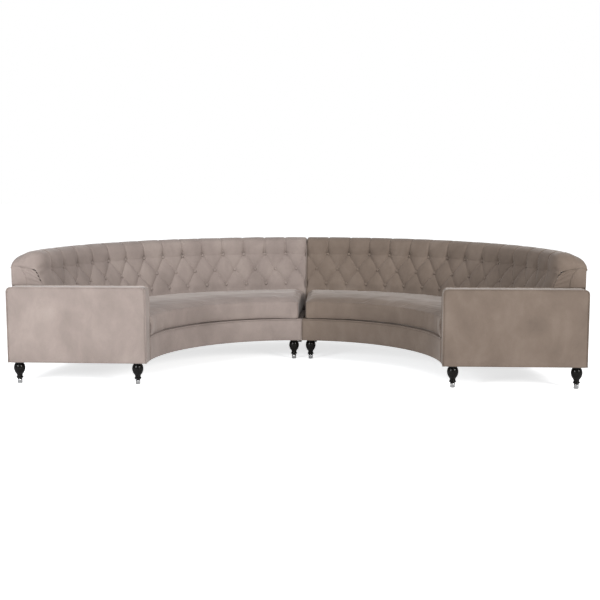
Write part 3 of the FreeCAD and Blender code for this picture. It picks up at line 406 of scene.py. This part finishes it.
def stuffed_box(bm, outline, front, rear, puff, edge=0.004, rings=18, seed=1, sign=1):
    """A closed padded box: an outline (x, z), a front and rear face (y), the front one swollen in its middle."""
    heart = (outline.max(0) + outline.min(0)) / 2
    rows = []
    inset = np.sqrt(np.linspace(0, 1, rings))
    for share in inset[:-1]:
        rows.append((heart + (outline - heart) * share * 0.992, front - puff * (1 - share ** 4)))
    rows.append((heart + (outline - heart) * 0.996, front + edge * 0.25))
    for deep in np.linspace(front + edge, rear - edge, 9):
        rows.append((outline, deep))
    rows.append((heart + (outline - heart) * 0.996, rear - edge * 0.25))
    for share in inset[:-1][::-1]:
        rows.append((heart + (outline - heart) * share * 0.992, rear))
    points = np.array([np.stack([place[:, 0], np.full(len(place), deep), place[:, 1]], 1)
                       for place, deep in rows]).transpose(1, 0, 2)
    wave = unevenness(points, 0.22, 0.0009, seed)
    points[:, :rings - 2, 1] += wave[:, :rings - 2]
    skin(bm, mirrored(points, sign))


def welt(bm, path, radius, sign):
    """A round covered cord along a path."""
    skin(bm, mirrored(tube(path, radius), sign))
    close_ends(bm)


ARM_WELT, PLATFORM_WELT = 0.0040, 0.0042  # radii


def arm(side, sign):
    """The padded arm case, and the welts round its front and rear edges."""
    corners = [(INNER, LEG_TOP, 0), (INNER, ARM_TOP, 0.034), (1.934, ARM_TOP, 0.034), (1.934, LEG_TOP, 0)]
    outline = spread(rounded_outline(corners), 0.012)
    front, rear = ARC_Y - 0.040, ARC_Y + 0.0862
    bm = bmesh.new()
    stuffed_box(bm, outline, front, rear, 0.004, seed=31 + sign, sign=sign)
    case = finish_mesh(f"{side}_arm_case", bm)
    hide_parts(f"{side}_arm_cover")
    open_run = rounded_outline(corners, 12)
    open_run = np.vstack([open_run[0], *[a + (b - a) * t for a, b in zip(open_run, open_run[1:])
                                         for t in (0.25, 0.5, 0.75, 1)]])
    bm = bmesh.new()
    for deep in (front + 0.0002, rear - 0.0002):
        path = np.stack([open_run[:, 0], np.full(len(open_run), deep), open_run[:, 1]], 1)
        path[0, 2] = path[-1, 2] = LEG_TOP + 0.001
        welt(bm, path, ARM_WELT, sign)
    welts = finish_mesh(f"{side}_arm_welts", bm)
    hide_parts(f"{side}_arm_piping")
    return case, welts


def facing(side, sign):
    """The flat facing in the end of the roll, with the cloth that runs from it to the pad's end."""
    outline = spread(np.vstack([curve([(FACING_IN, FACING_LOW), (FACING_IN + 0.0005, 0.700),
                                       (FACING_IN + 0.014, 0.745), (FACING_IN + 0.034, 0.777),
                                       (FACING_HIGH_IN, FACING_HIGH)], [6] * 4),
                                [(FACING_OUT - 0.004, FACING_HIGH), (FACING_OUT, FACING_HIGH - 0.004),
                                 (FACING_OUT, FACING_LOW)]]), 0.006)
    bm = bmesh.new()
    stuffed_box(bm, outline, ARC_Y + 0.0822, ARC_Y + 0.090, 0.0025, edge=0.002, rings=9, seed=5, sign=sign)
    # The cloth drawn flat from the pad's end to the facing, in a few soft folds
    levels = np.linspace(FACING_LOW, FACING_HIGH - 0.001, 40)
    first = np.interp(levels, [FACING_LOW, TOP_ROW, 0.779, 0.791, FACING_HIGH],
                      [back_radius(FACING_LOW) + 0.010, back_radius(TOP_ROW) + 0.010, 1.798, 1.846, 1.880])
    last = np.interp(levels, [FACING_LOW, 0.700, 0.745, 0.777, FACING_HIGH],
                     np.array([0, 0.0005, 0.014, 0.034, FACING_HIGH_IN - FACING_IN]) + FACING_IN + 0.004)
    share = np.linspace(0, 1, 24)[:, None]
    across = first + (last - first) * share
    fan = (levels - 0.62) / (0.10 + 0.10 * share)
    fold = 0.0014 * np.sin(fan * 26 + 3 * share) * np.sin(share * math.pi) ** 0.5
    front = np.stack([across, ARC_Y + 0.0862 + fold - 0.001, np.broadcast_to(levels, across.shape)], 2)
    rear = front[:, ::-1].copy()
    rear[..., 1] = ARC_Y + 0.0898
    skin(bm, mirrored(np.concatenate([front, rear, front[:, :1]], axis=1), sign))
    close_ends(bm)
    item = finish_mesh(f"{side}_roll_facing", bm)
    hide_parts(f"{side}_back_end_facing")
    return item


def sector(name, node, section, radius, seam, arm_end, count, sign, seed, wave):
    """A closed section swept from the seam to the arm, as a covered panel."""
    section = np.vstack([section, section[:1]])
    angles = arc_angles(radius, seam, arm_end, count)
    points = swept(angles, section)
    deep, across = points[0], points[-1]
    deep[:, 1] = ARC_Y + np.sqrt(section[:, 0] ** 2 - seam ** 2)
    deep[:, 0] = seam
    across[:, 0] = np.sqrt(section[:, 0] ** 2 - arm_end ** 2)
    across[:, 1] = ARC_Y + arm_end
    ripple = unevenness(points, 0.2, wave, seed)
    heart = section.mean(0)
    away = section - heart
    away /= np.maximum(np.linalg.norm(away, axis=1), 1e-6)[:, None]
    sin, cos = np.sin(angles)[:, None], np.cos(angles)[:, None]
    way = np.stack([away[:, 0] * sin, away[:, 0] * cos, np.zeros_like(ripple)], 2)
    points[1:-1] += (way * ripple[..., None])[1:-1]
    bm = bmesh.new()
    skin(bm, mirrored(points, sign))
    close_ends(bm)
    item = finish_mesh(name, bm)
    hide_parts(node)
    return item


def border(side, sign):
    """The padded curved front of the platform."""
    front = curve([(INNER + 0.003, LEG_TOP + 0.001), (INNER - 0.0015, LEG_TOP + 0.02), (INNER - 0.0035, 0.235),
                   (INNER - 0.0015, 0.298), (INNER + 0.006, PLATFORM - 0.001)], [4, 6, 6, 5])
    section = np.vstack([front, [(1.0025, PLATFORM - 0.0005), (1.0025, LEG_TOP + 0.0005)]])
    return sector(f"{side}_border_cover", f"{side}_platform_border", section, INNER, SEAM_FACE, ARM_FACE,
                  160, sign, 41 + sign, 0.0016)


def deck(side, sign):
    """The covered top of the platform, under the cushion."""
    rear_low, rear_high = 1.5716, 1.5766
    section = np.array([(1.0045, 0.3022), (1.0040, 0.3145), (1.2, 0.3149), (1.4, 0.3149),
                        (rear_high, 0.3146), (rear_low, 0.3022)])
    return sector(f"{side}_deck_cover", f"{side}_platform_deck", section, 1.2, SEAM_FACE, ARM_FACE,
                  120, sign, 51, 0.0002)


def outside_back(side, sign):
    """The covered panel round the rear."""
    rear = curve([(OUTER - 0.002, LEG_TOP + 0.0005), (OUTER, LEG_TOP + 0.012), (OUTER + 0.0005, 0.46),
                  (OUTER, 0.755), (OUTER - 0.002, 0.7755)], [3, 10, 10, 3])
    section = np.vstack([rear, [(1.9302, 0.7755), (1.9302, LEG_TOP + 0.0005)]])
    return sector(f"{side}_outer_cover", f"{side}_outside_back", section, OUTER, SEAM_FACE, ARM_FACE,
                  200, sign, 61 + sign, 0.0012)


def platform_welt(side, sign):
    """The welt along the platform's top front edge."""
    radius, level = INNER + 0.0005, PLATFORM - 0.0006
    angles = arc_angles(radius, SEAM_FACE, ARM_FACE, 150)
    path = np.stack([radius * np.sin(angles), ARC_Y + radius * np.cos(angles), np.full(150, level)], 1)
    bm = bmesh.new()
    welt(bm, path, PLATFORM_WELT, sign)
    item = finish_mesh(f"{side}_platform_welt", bm)
    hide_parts(f"{side}_platform_piping")
    return item


def dust_cloth(side, sign):
    """Thin black cloth stapled under the base and under the arm, sagging a little between."""
    angles = arc_angles(1.4, 0.006, ARM_FACE, 60)
    radii = np.linspace(INNER + 0.014, 1.9295, 24)
    sag = 0.002 * np.sin(np.linspace(0, math.pi, 24))
    ring = swept(angles, np.stack([radii, 0.1527 - sag], 1), (0.006, None))
    ring[-1, :, 0] = np.sqrt(radii ** 2 - ARM_FACE ** 2)
    ring[-1, :, 1] = ARC_Y + ARM_FACE
    x, y = np.meshgrid(np.linspace(1.0035, 1.9215, 24), np.linspace(-0.0275, 0.0740, 6), indexing="ij")
    under_arm = np.stack([x, y + ARC_Y, np.full(x.shape, 0.1527)], 2)
    bm = bmesh.new()
    skin(bm, mirrored(ring, sign))
    skin(bm, mirrored(under_arm, sign))
    area = sum(face.calc_area() for face in bm.faces)
    item = finish_mesh(f"{side}_dust_cloth", bm)
    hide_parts(f"{side}_dust_cover")
    return item


# Seat cushion: filled by a cloth simulation, with its seams sewn on afterwards

CUSHION_FRONT, CUSHION_LOW, CUSHION_FRONT_TOP = 0.985, 0.3158, 0.457
CUSHION_SEAM, CUSHION_ARM = 0.007, ARM_FACE + 0.008  # its ends before it is filled
CUSHION_CAP = 0.022  # how far the filling may move the cover


def rear_limit(level):
    """Radius of the back's lower part at a level, less a small gap."""
    return before_line(level - BASE_PROUD * math.sin(LEAN), BASE_PROUD)[..., 0] - 0.0015


def cushion_form():
    """The cushion before it is filled: a curved box with rounded edges and corners."""
    inset = 0.010
    low, high = CUSHION_LOW + 0.004, CUSHION_FRONT_TOP - 0.007
    front = CUSHION_FRONT + inset
    rear_high = float(rear_limit(0.455)) - inset
    rear_low = float(rear_limit(0.335)) - inset
    keys = [(front + 0.016, low), (front + 0.003, low + 0.006), (front, low + 0.02), (front - 0.001, 0.39),
            (front, high - 0.02), (front + 0.005, high - 0.004), (front + 0.020, high + 0.001),
            (front + 0.15, high + 0.012), (front + 0.33, high + 0.022), (rear_high - 0.10, high + 0.021),
            (rear_high - 0.015, high + 0.013), (rear_high, high), (rear_low + 0.02, 0.36),
            (rear_low, low + 0.01), (rear_low - 0.01, low), (rear_low - 0.25, low)]
    counts = [2, 2, 6, 6, 2, 2, 12, 16, 12, 8, 2, 8, 3, 2, 20]
    section = np.vstack([curve(keys, counts), line(keys[-1], keys[0], 20)[1:], [keys[0]]])
    heart = section.mean(0)
    angles = arc_angles(1.3, CUSHION_SEAM, CUSHION_ARM, 190)
    sections = np.broadcast_to(section, (190,) + section.shape).copy()
    far = np.minimum(1.3 * np.sin(angles) - CUSHION_SEAM, 1.3 * np.cos(angles) - CUSHION_ARM)
    drawn = 1 - np.sqrt(np.maximum(1 - np.clip(1 - far / 0.03, 0, 1) ** 2, 0))
    sections += (heart - sections) * (drawn * 0.09)[:, None, None] * np.array([0.6, 1])
    points = swept(angles, sections)
    for index, seam in ((0, True), (-1, False)):
        radius = sections[index][:, 0]
        if seam:
            points[index, :, 0] = CUSHION_SEAM
            points[index, :, 1] = ARC_Y + np.sqrt(radius ** 2 - CUSHION_SEAM ** 2)
        else:
            points[index, :, 1] = ARC_Y + CUSHION_ARM
            points[index, :, 0] = np.sqrt(radius ** 2 - CUSHION_ARM ** 2)
    return points


def positions(mesh):
    """Every vertex's place, as rows."""
    flat = np.empty(len(mesh.vertices) * 3)
    mesh.vertices.foreach_get("co", flat)
    return flat.reshape(-1, 3)


def set_positions(mesh, places):
    mesh.vertices.foreach_set("co", np.asarray(places, dtype=float).ravel())
    mesh.update()


def vertex_normals(mesh):
    flat = np.empty(len(mesh.vertices) * 3)
    mesh.vertices.foreach_get("normal", flat)
    return flat.reshape(-1, 3)


def kept_clear(places):
    """The cushion flattened where it meets the deck, the back, the arm and the other cushion."""
    x, y, z = places.T
    z = np.maximum(z, CUSHION_LOW)
    z = np.minimum(z, 0.4905)
    radius = np.hypot(x, y - ARC_Y)
    limit = np.minimum(rear_limit(z), np.maximum(radius, 0))
    scale = np.where(radius > limit, limit / radius, 1)
    scale = np.where(radius < CUSHION_FRONT - 0.006, (CUSHION_FRONT - 0.006) / radius, scale)
    x, y = x * scale, ARC_Y + (y - ARC_Y) * scale
    return np.stack([np.maximum(x, 0.0016), np.maximum(y, ARC_Y + ARM_FACE + 0.0006), z], 1)


def fill_cushion(item):
    """Blows the cover up by a short cloth simulation and keeps how far it may move small."""
    bpy.context.view_layer.objects.active = item
    item.select_set(True)
    item.data.remesh_voxel_size = 0.010
    bpy.ops.object.voxel_remesh()
    rest = positions(item.data)
    cloth = item.modifiers.new("Cloth", "CLOTH")
    settings = cloth.settings
    settings.use_pressure = True
    settings.uniform_pressure_force = 4
    settings.effector_weights.gravity = 0
    settings.quality = 4
    settings.mass = 0.3
    settings.tension_stiffness = settings.compression_stiffness = 12
    settings.bending_stiffness = 0.3
    cloth.collision_settings.use_collision = False
    cloth.point_cache.frame_start, cloth.point_cache.frame_end = 1, 20
    for number in range(1, 21):
        bpy.context.scene.frame_set(number)
    graph = bpy.context.evaluated_depsgraph_get()
    filled = positions(item.evaluated_get(graph).data)
    item.modifiers.remove(cloth)
    bpy.context.scene.frame_set(1)
    move = filled - rest
    length = np.linalg.norm(move, axis=1)
    move *= np.where(length > CUSHION_CAP, CUSHION_CAP / np.maximum(length, 1e-9), 1)[:, None]
    set_positions(item.data, kept_clear(rest + move))
    item.select_set(False)


def cushion_folds(sign):
    """Folds at the arm end, at the seam end and a few on the top, other ones on each side."""
    source = np.random.default_rng(90 + sign)
    folds = []

    def fold(angle, radius, level, way, length, width, depth):
        turn = math.radians(angle)
        place = (radius * math.sin(turn), ARC_Y + radius * math.cos(turn), level)
        folds.append((place, way, length, width, depth))

    for angle in (81, 82.6, 84):
        fold(angle, 0.99, 0.36 + source.uniform(0, 0.06), (0.1, 0.2, 1), 0.035, 0.006, 0.006)
    for angle in (6, 9, 14):
        fold(angle + source.uniform(-1, 1), 0.985, 0.39, (0.25, 0.1, 1), 0.04, 0.006, 0.004)
    for angle in (30, 36, 52, 60, 71):
        fold(angle + source.uniform(-3, 3), 0.99, 0.40 + source.uniform(-0.03, 0.03),
             (source.uniform(-1, 1), 0, 1), 0.03, 0.007, 0.0022)
    for angle in (12, 20, 27, 44, 58, 70):
        fold(angle + source.uniform(-3, 3), source.uniform(1.02, 1.2), 0.465,
             (source.uniform(-1, 1), source.uniform(-1, 1), 0), 0.06, 0.009, 0.003)
    return folds


def sewn_line(tree, radius, level, angles, lift):
    """A path on the cushion's skin near a radius and level."""
    path = []
    for angle in angles:
        goal_place = Vector((radius * math.sin(angle), ARC_Y + radius * math.cos(angle), level))
        place, normal, _, _ = tree.find_nearest(goal_place)
        path.append(place + normal * lift)
    path = np.array(path)
    for _ in range(4):
        path[1:-1] = (path[:-2] + 2 * path[1:-1] + path[2:]) / 4
    return path


def cushion(side, sign):
    """The loose cushion: filled, creased, and sewn with a seam above and a welt below its front."""
    bm = bmesh.new()
    skin(bm, cushion_form())
    close_ends(bm)
    item = finish_mesh(f"{side}_cushion", bm)
    fill_cushion(item)
    smooth = item.modifiers.new("Smooth", "SUBSURF")
    smooth.levels = smooth.render_levels = 1
    graph = bpy.context.evaluated_depsgraph_get()
    mesh = bpy.data.meshes.new_from_object(item.evaluated_get(graph))
    item.modifiers.remove(smooth)
    item.data = mesh
    places, away = positions(mesh), vertex_normals(mesh)
    depth = creases(places, cushion_folds(sign)) + unevenness(places, 0.20, 0.0022, 71 + sign)
    depth += unevenness(places, 0.07, 0.0007, 81 + sign)
    set_positions(mesh, kept_clear(places + away * depth[:, None]))
    tree = BVHTree.FromPolygons([v.co.copy() for v in mesh.vertices],
                                [p.vertices[:] for p in mesh.polygons])
    angles = np.linspace(math.radians(2.5), math.radians(83.5), 170)
    bm = bmesh.new()
    bm.from_mesh(mesh)
    for radius, level, lift, thick in ((0.975, 0.470, -0.0002, 0.0018), (0.975, 0.306, 0.0002, 0.0030)):
        path = sewn_line(tree, radius, level, angles, lift)
        path[:, 2] = np.maximum(path[:, 2], CUSHION_LOW + thick)
        skin(bm, tube(path, thick, 8))
        close_ends(bm)
    if sign < 0:
        bmesh.ops.scale(bm, vec=(-1, 1, 1), verts=bm.verts)
    bpy.data.objects.remove(item)
    item = finish_mesh(f"{side}_loose_cushion", bm)
    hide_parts(f"{side}_seat_cushion")
    return item


# Turned legs and chrome ferrules

# Places of a section's legs: two at the seam, one behind, two under the arm
LEGS = [(0.0643, 0.91241), (0.0643, 0.11041), (1.35397, 0.3322), (1.063, -0.93059), (1.88, -0.93059)]


def turned(name, node, profile, places, sign, steps=40):
    """Solids of revolution of a profile (radius, level) at several places."""
    bm = bmesh.new()
    for x, y in places:
        edge = [bm.verts.new((x * sign + radius, y, level)) for radius, level in profile]
        edges = [bm.edges.new(pair) for pair in zip(edge, edge[1:])]
        bmesh.ops.spin(bm, geom=edge + edges, cent=(x * sign, y, 0), axis=(0, 0, 1),
                       angle=2 * math.pi, steps=steps, use_merge=True)
    bmesh.ops.remove_doubles(bm, verts=bm.verts, dist=1e-6)
    item = finish_mesh(name, bm)
    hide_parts(node)
    return item


def leg_profile():
    """Half of a leg's outline, up from inside the ferrule: neck, ring, bulb and collar."""
    lower = [(0, 0.0033), (0.0137, 0.0033), (0.0137, 0.0301), (0.0158, 0.0304), (0.0166, 0.034)]
    ring = curve([(0.0170, 0.036), (0.0215, 0.0378), (0.0240, 0.042), (0.0218, 0.0462), (0.0196, 0.048)],
                 [4] * 4)
    bulb = curve([(0.0192, 0.050), (0.0190, 0.058), (0.0225, 0.066), (0.0318, 0.080), (0.0380, 0.104),
                  (0.0352, 0.126), (0.0290, 0.1375)], [3, 3, 6, 8, 8, 6])
    collar = curve([(0.0285, 0.1395), (0.0305, 0.1435), (0.0300, 0.1475)], [3, 3])
    return np.vstack([lower, ring, bulb, collar, [(0, 0.149)]])


FERRULE = [(0, 0.0001), (0.0120, 0.0001), (0.0138, 0.0004), (0.0154, 0.0016), (0.0160, 0.0034),
           (0.0160, 0.0272), (0.0157, 0.0290), (0.0150, 0.0297), (0.0140, 0.0297), (0.0140, 0.0032),
           (0, 0.0032)]


# Materials

def srgb(text):
    """A linear colour from an sRGB hex text."""
    parts = [int(text[k:k + 2], 16) / 255 for k in (0, 2, 4)]
    return [c / 12.92 if c < 0.04045 else ((c + 0.055) / 1.055) ** 2.4 for c in parts] + [1]


def add(tree, kind, links=(), **values):
    """Adds a node, sets its inputs or settings by name and links (input, output socket) pairs."""
    node = tree.nodes.new(kind)
    for name, value in values.items():
        key = name.replace("_", " ")
        if hasattr(node, name):
            setattr(node, name, value)
        else:
            node.inputs[key].default_value = value
    for name, socket in links:
        tree.links.new(socket, node.inputs[name])
    return node


def new_material(name):
    """A material with its node tree, shader and object coordinates."""
    material = bpy.data.materials.new(name)
    material.use_nodes = True
    tree = material.node_tree
    shader = tree.nodes["Principled BSDF"]
    place = add(tree, "ShaderNodeTexCoord").outputs["Object"]
    return material, tree, shader, place


def ramp(tree, factor, stops):
    """A colour ramp over a factor."""
    node = add(tree, "ShaderNodeValToRGB", [("Fac", factor)])
    elements = node.color_ramp.elements
    while len(elements) < len(stops):
        elements.new(0.5)
    for element, (position, colour) in zip(elements, stops):
        element.position = position
        element.color = colour
    return node.outputs["Color"]


def velvet(name, dark, mid, light):
    """Taupe cotton velvet: brushed patches of the pile, a bright sheen at the edges and a fine pile grain."""
    material, tree, shader, place = new_material(name)
    brushed = add(tree, "ShaderNodeMapping", [("Vector", place)], Scale=(1.5, 1.5, 1))
    patches = add(tree, "ShaderNodeTexNoise", [("Vector", brushed.outputs["Vector"])],
                  Scale=3.4, Detail=5, Roughness=0.62, Distortion=0.25)
    colour = ramp(tree, patches.outputs["Fac"],
                  [(0.25, srgb(dark)), (0.5, srgb(mid)), (0.75, srgb(light))])
    pile = add(tree, "ShaderNodeTexNoise", [("Vector", place)], Scale=520, Detail=2, Roughness=0.6)
    grain = ramp(tree, pile.outputs["Fac"], [(0.3, (0.86, 0.86, 0.86, 1)), (0.7, (1.1, 1.1, 1.1, 1))])
    tint = add(tree, "ShaderNodeMix", data_type="RGBA", blend_type="MULTIPLY")
    tint.inputs["Factor"].default_value = 0.7
    tree.links.new(colour, tint.inputs[6])
    tree.links.new(grain, tint.inputs[7])
    tree.links.new(tint.outputs[2], shader.inputs["Base Color"])
    rub = add(tree, "ShaderNodeTexNoise", [("Vector", place)], Scale=38, Detail=3, Roughness=0.55)
    soft = add(tree, "ShaderNodeBump", [("Height", rub.outputs["Fac"])], Strength=0.10, Distance=0.004)
    fine = add(tree, "ShaderNodeBump", [("Height", pile.outputs["Fac"]), ("Normal", soft.outputs["Normal"])],
               Strength=0.12, Distance=0.0006)
    tree.links.new(fine.outputs["Normal"], shader.inputs["Normal"])
    shader.inputs["Roughness"].default_value = 0.78
    shader.inputs["Specular IOR Level"].default_value = 0.18
    shader.inputs["Sheen Weight"].default_value = 0.36
    shader.inputs["Sheen Roughness"].default_value = 0.34
    shader.inputs["Sheen Tint"].default_value = srgb("EFEAE6")
    return material


def lacquer():
    """Black lacquer on turned wood: deep black with a clear gloss and a faint grain under it."""
    material, tree, shader, place = new_material("black_lacquered_wood")
    along = add(tree, "ShaderNodeMapping", [("Vector", place)], Scale=(160, 160, 14))
    grain = add(tree, "ShaderNodeTexNoise", [("Vector", along.outputs["Vector"])], Scale=1, Detail=4)
    tree.links.new(ramp(tree, grain.outputs["Fac"], [(0.35, srgb("090807")), (0.75, srgb("12100E"))]),
                   shader.inputs["Base Color"])
    bump = add(tree, "ShaderNodeBump", [("Height", grain.outputs["Fac"])], Strength=0.03, Distance=0.0004)
    tree.links.new(bump.outputs["Normal"], shader.inputs["Normal"])
    shader.inputs["Roughness"].default_value = 0.22
    shader.inputs["Specular IOR Level"].default_value = 0.12
    shader.inputs["Coat Weight"].default_value = 0.08
    shader.inputs["Coat Roughness"].default_value = 0.05
    return material


def metal(name, dark, light, roughness, metallic, scale):
    """Metal with faint rubbing marks that make its gloss uneven."""
    material, tree, shader, place = new_material(name)
    marks = add(tree, "ShaderNodeTexNoise", [("Vector", place)], Scale=scale, Detail=4)
    tree.links.new(ramp(tree, marks.outputs["Fac"], [(0.3, srgb(dark)), (0.7, srgb(light))]),
                   shader.inputs["Base Color"])
    low, high = roughness
    uneven = add(tree, "ShaderNodeMapRange", [("Value", marks.outputs["Fac"])], To_Min=low, To_Max=high)
    tree.links.new(uneven.outputs["Result"], shader.inputs["Roughness"])
    shader.inputs["Metallic"].default_value = metallic
    return material


def grained(name, dark, light, stretch, scale, roughness):
    """Wood or cloth with long fibres: bands of two tones and a bump along them."""
    material, tree, shader, place = new_material(name)
    along = add(tree, "ShaderNodeMapping", [("Vector", place)], Scale=stretch)
    fibres = add(tree, "ShaderNodeTexNoise", [("Vector", along.outputs["Vector"])], Scale=scale, Detail=6,
                 Roughness=0.6, Distortion=0.4)
    tree.links.new(ramp(tree, fibres.outputs["Fac"], [(0.3, srgb(dark)), (0.7, srgb(light))]),
                   shader.inputs["Base Color"])
    bump = add(tree, "ShaderNodeBump", [("Height", fibres.outputs["Fac"])], Strength=0.2, Distance=0.0005)
    tree.links.new(bump.outputs["Normal"], shader.inputs["Normal"])
    shader.inputs["Roughness"].default_value = roughness
    return material


# One velvet in two copies: the left half's is painted paler and the right half's darker. This is painted light
# and shade for how the light falls on each half and on its pile, which runs the same way round the whole arc
VELVETS = {"left": velvet("taupe_velvet_paler_side", "7A6F69", "867A74", "92867F"),
           "right": velvet("taupe_velvet_darker_side", "64584F", "6E6157", "796C62")}
MATERIALS = {
    "black_lacquer": lacquer(),
    "chrome": metal("polished_chrome", "A6A6A6", "BEBEBE", (0.08, 0.14), 1, 60),
    "black_steel": metal("black_painted_steel", "0C0C0D", "18181A", (0.38, 0.52), 0, 90),
    "frame_wood": grained("raw_beech", "B08860", "CDAA82", (4, 4, 30), 3, 0.62),
    "plywood": grained("birch_plywood", "B5966B", "D6BC92", (5, 5, 60), 4, 0.6),
    "webbing": grained("elastic_webbing", "18181A", "2E2E30", (420, 420, 420), 1, 0.85),
    "dust_cloth": grained("spunbond_cloth", "121212", "1E1E1F", (260, 260, 260), 1, 0.9),
}


def material_of(slot_name, side):
    """The material of a slot, on one side."""
    return VELVETS[side] if slot_name == "velvet" else MATERIALS[slot_name]


def dress(item, slot_name, body):
    """Gives a piece its material and slot, and the body that it rides on."""
    item.data.materials.clear()
    item.data.materials.append(material_of(slot_name, body.split("_")[0]))
    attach(item, body)


for part in frame["record"]["subparts"]:
    node = frame["nodes"][part["node"]]
    node.data.materials.clear()
    node.data.materials.append(material_of(part["material_slot"], part["node"].split("_")[0]))

for side, sign in SIDES.items():
    section_body, cushion_body = f"{side}_section", f"{side}_cushion"
    for item in (tufted_back(side, sign), buttons(side, sign), *arm(side, sign), facing(side, sign),
                 border(side, sign), deck(side, sign), outside_back(side, sign), platform_welt(side, sign)):
        dress(item, "velvet", section_body)
    dress(dust_cloth(side, sign), "dust_cloth", section_body)
    dress(turned(f"{side}_turned_legs", f"{side}_legs", leg_profile(), LEGS, sign), "black_lacquer", section_body)
    dress(turned(f"{side}_chrome_cups", f"{side}_leg_ferrules", FERRULE, LEGS, sign), "chrome", section_body)
    dress(cushion(side, sign), "velvet", cushion_body)


# Studio: pale floor, white surroundings and large soft lights

def stage_material():
    """Matt pale floor that keeps a soft shadow and is otherwise as white as the background."""
    material = bpy.data.materials.new("pale_floor")
    material.use_nodes = True
    tree = material.node_tree
    shader = tree.nodes["Principled BSDF"]
    shader.inputs["Base Color"].default_value = (0.9, 0.9, 0.9, 1)
    shader.inputs["Roughness"].default_value = 0.9
    shader.inputs["Specular IOR Level"].default_value = 0.0
    glow = add(tree, "ShaderNodeEmission", Strength=0.72)
    both = add(tree, "ShaderNodeAddShader")
    tree.links.new(shader.outputs[0], both.inputs[0])
    tree.links.new(glow.outputs[0], both.inputs[1])
    path = add(tree, "ShaderNodeLightPath")
    mix = add(tree, "ShaderNodeMixShader", [("Fac", path.outputs["Is Camera Ray"])])
    tree.links.new(shader.outputs[0], mix.inputs[1])
    tree.links.new(both.outputs[0], mix.inputs[2])
    tree.links.new(mix.outputs[0], tree.nodes["Material Output"].inputs["Surface"])
    return material


bm = bmesh.new()
bmesh.ops.create_grid(bm, x_segments=2, y_segments=2, size=40)
floor = finish_mesh("studio_floor", bm, smooth=False)
floor.data.materials.append(stage_material())

world = bpy.data.worlds.new("studio_world")
bpy.context.scene.world = world
world.use_nodes = True
tree = world.node_tree
background = tree.nodes["Background"]
background.inputs["Color"].default_value = (0.80, 0.82, 0.85, 1)
background.inputs["Strength"].default_value = 0.55
white = add(tree, "ShaderNodeBackground", Color=(1, 1, 1, 1), Strength=1.0)
path = add(tree, "ShaderNodeLightPath")
mix = add(tree, "ShaderNodeMixShader", [("Fac", path.outputs["Is Camera Ray"])])
tree.links.new(background.outputs[0], mix.inputs[1])
tree.links.new(white.outputs[0], mix.inputs[2])
tree.links.new(mix.outputs[0], tree.nodes["World Output"].inputs["Surface"])


def softbox(name, place, target, width, height, power, colour=(1, 1, 1)):
    """A rectangular light that faces a target."""
    data = bpy.data.lights.new(name, "AREA")
    data.shape = "RECTANGLE"
    data.size, data.size_y = width, height
    data.energy = power
    data.color = colour
    item = bpy.data.objects.new(name, data)
    bpy.context.scene.collection.objects.link(item)
    item.location = place
    item.rotation_euler = (Vector(target) - Vector(place)).to_track_quat("-Z", "Y").to_euler()


softbox("key_right", (6.2, -6.4, 3.4), (-0.6, 0.0, 0.5), 2.4, 2.2, 570, (1, 0.985, 0.97))
softbox("fill_left", (-3.2, -4.6, 1.9), (-1.3, -0.8, 0.4), 1.5, 1.5, 185, (0.96, 0.98, 1))
softbox("overhead", (0, -0.5, 4.2), (0, 0.0, 0), 5.0, 3.0, 50)

# Camera at the photograph's viewing angle
YAW, PITCH_DOWN, ROLL = -0.0573, 0.1215, -0.0011
CAMERA_PLACE, LENS, SENSOR = (0.434, -7.766, 1.419), 61.95, 36
ahead = Vector((math.sin(YAW) * math.cos(PITCH_DOWN), math.cos(YAW) * math.cos(PITCH_DOWN),
                -math.sin(PITCH_DOWN)))
right = Vector((math.cos(YAW), -math.sin(YAW), 0))
up = right.cross(ahead)
right, up = right * math.cos(ROLL) + up * math.sin(ROLL), up * math.cos(ROLL) - right * math.sin(ROLL)
camera_data = bpy.data.cameras.new("photo_camera")
camera_data.lens = LENS
camera_data.sensor_width = SENSOR
camera = bpy.data.objects.new("photo_camera", camera_data)
turn = Matrix((right, up, -ahead)).transposed().to_4x4()
camera.matrix_world = Matrix.Translation(CAMERA_PLACE) @ turn
bpy.context.scene.collection.objects.link(camera)
bpy.context.scene.camera = camera
bpy.context.scene.view_settings.view_transform = "Standard"
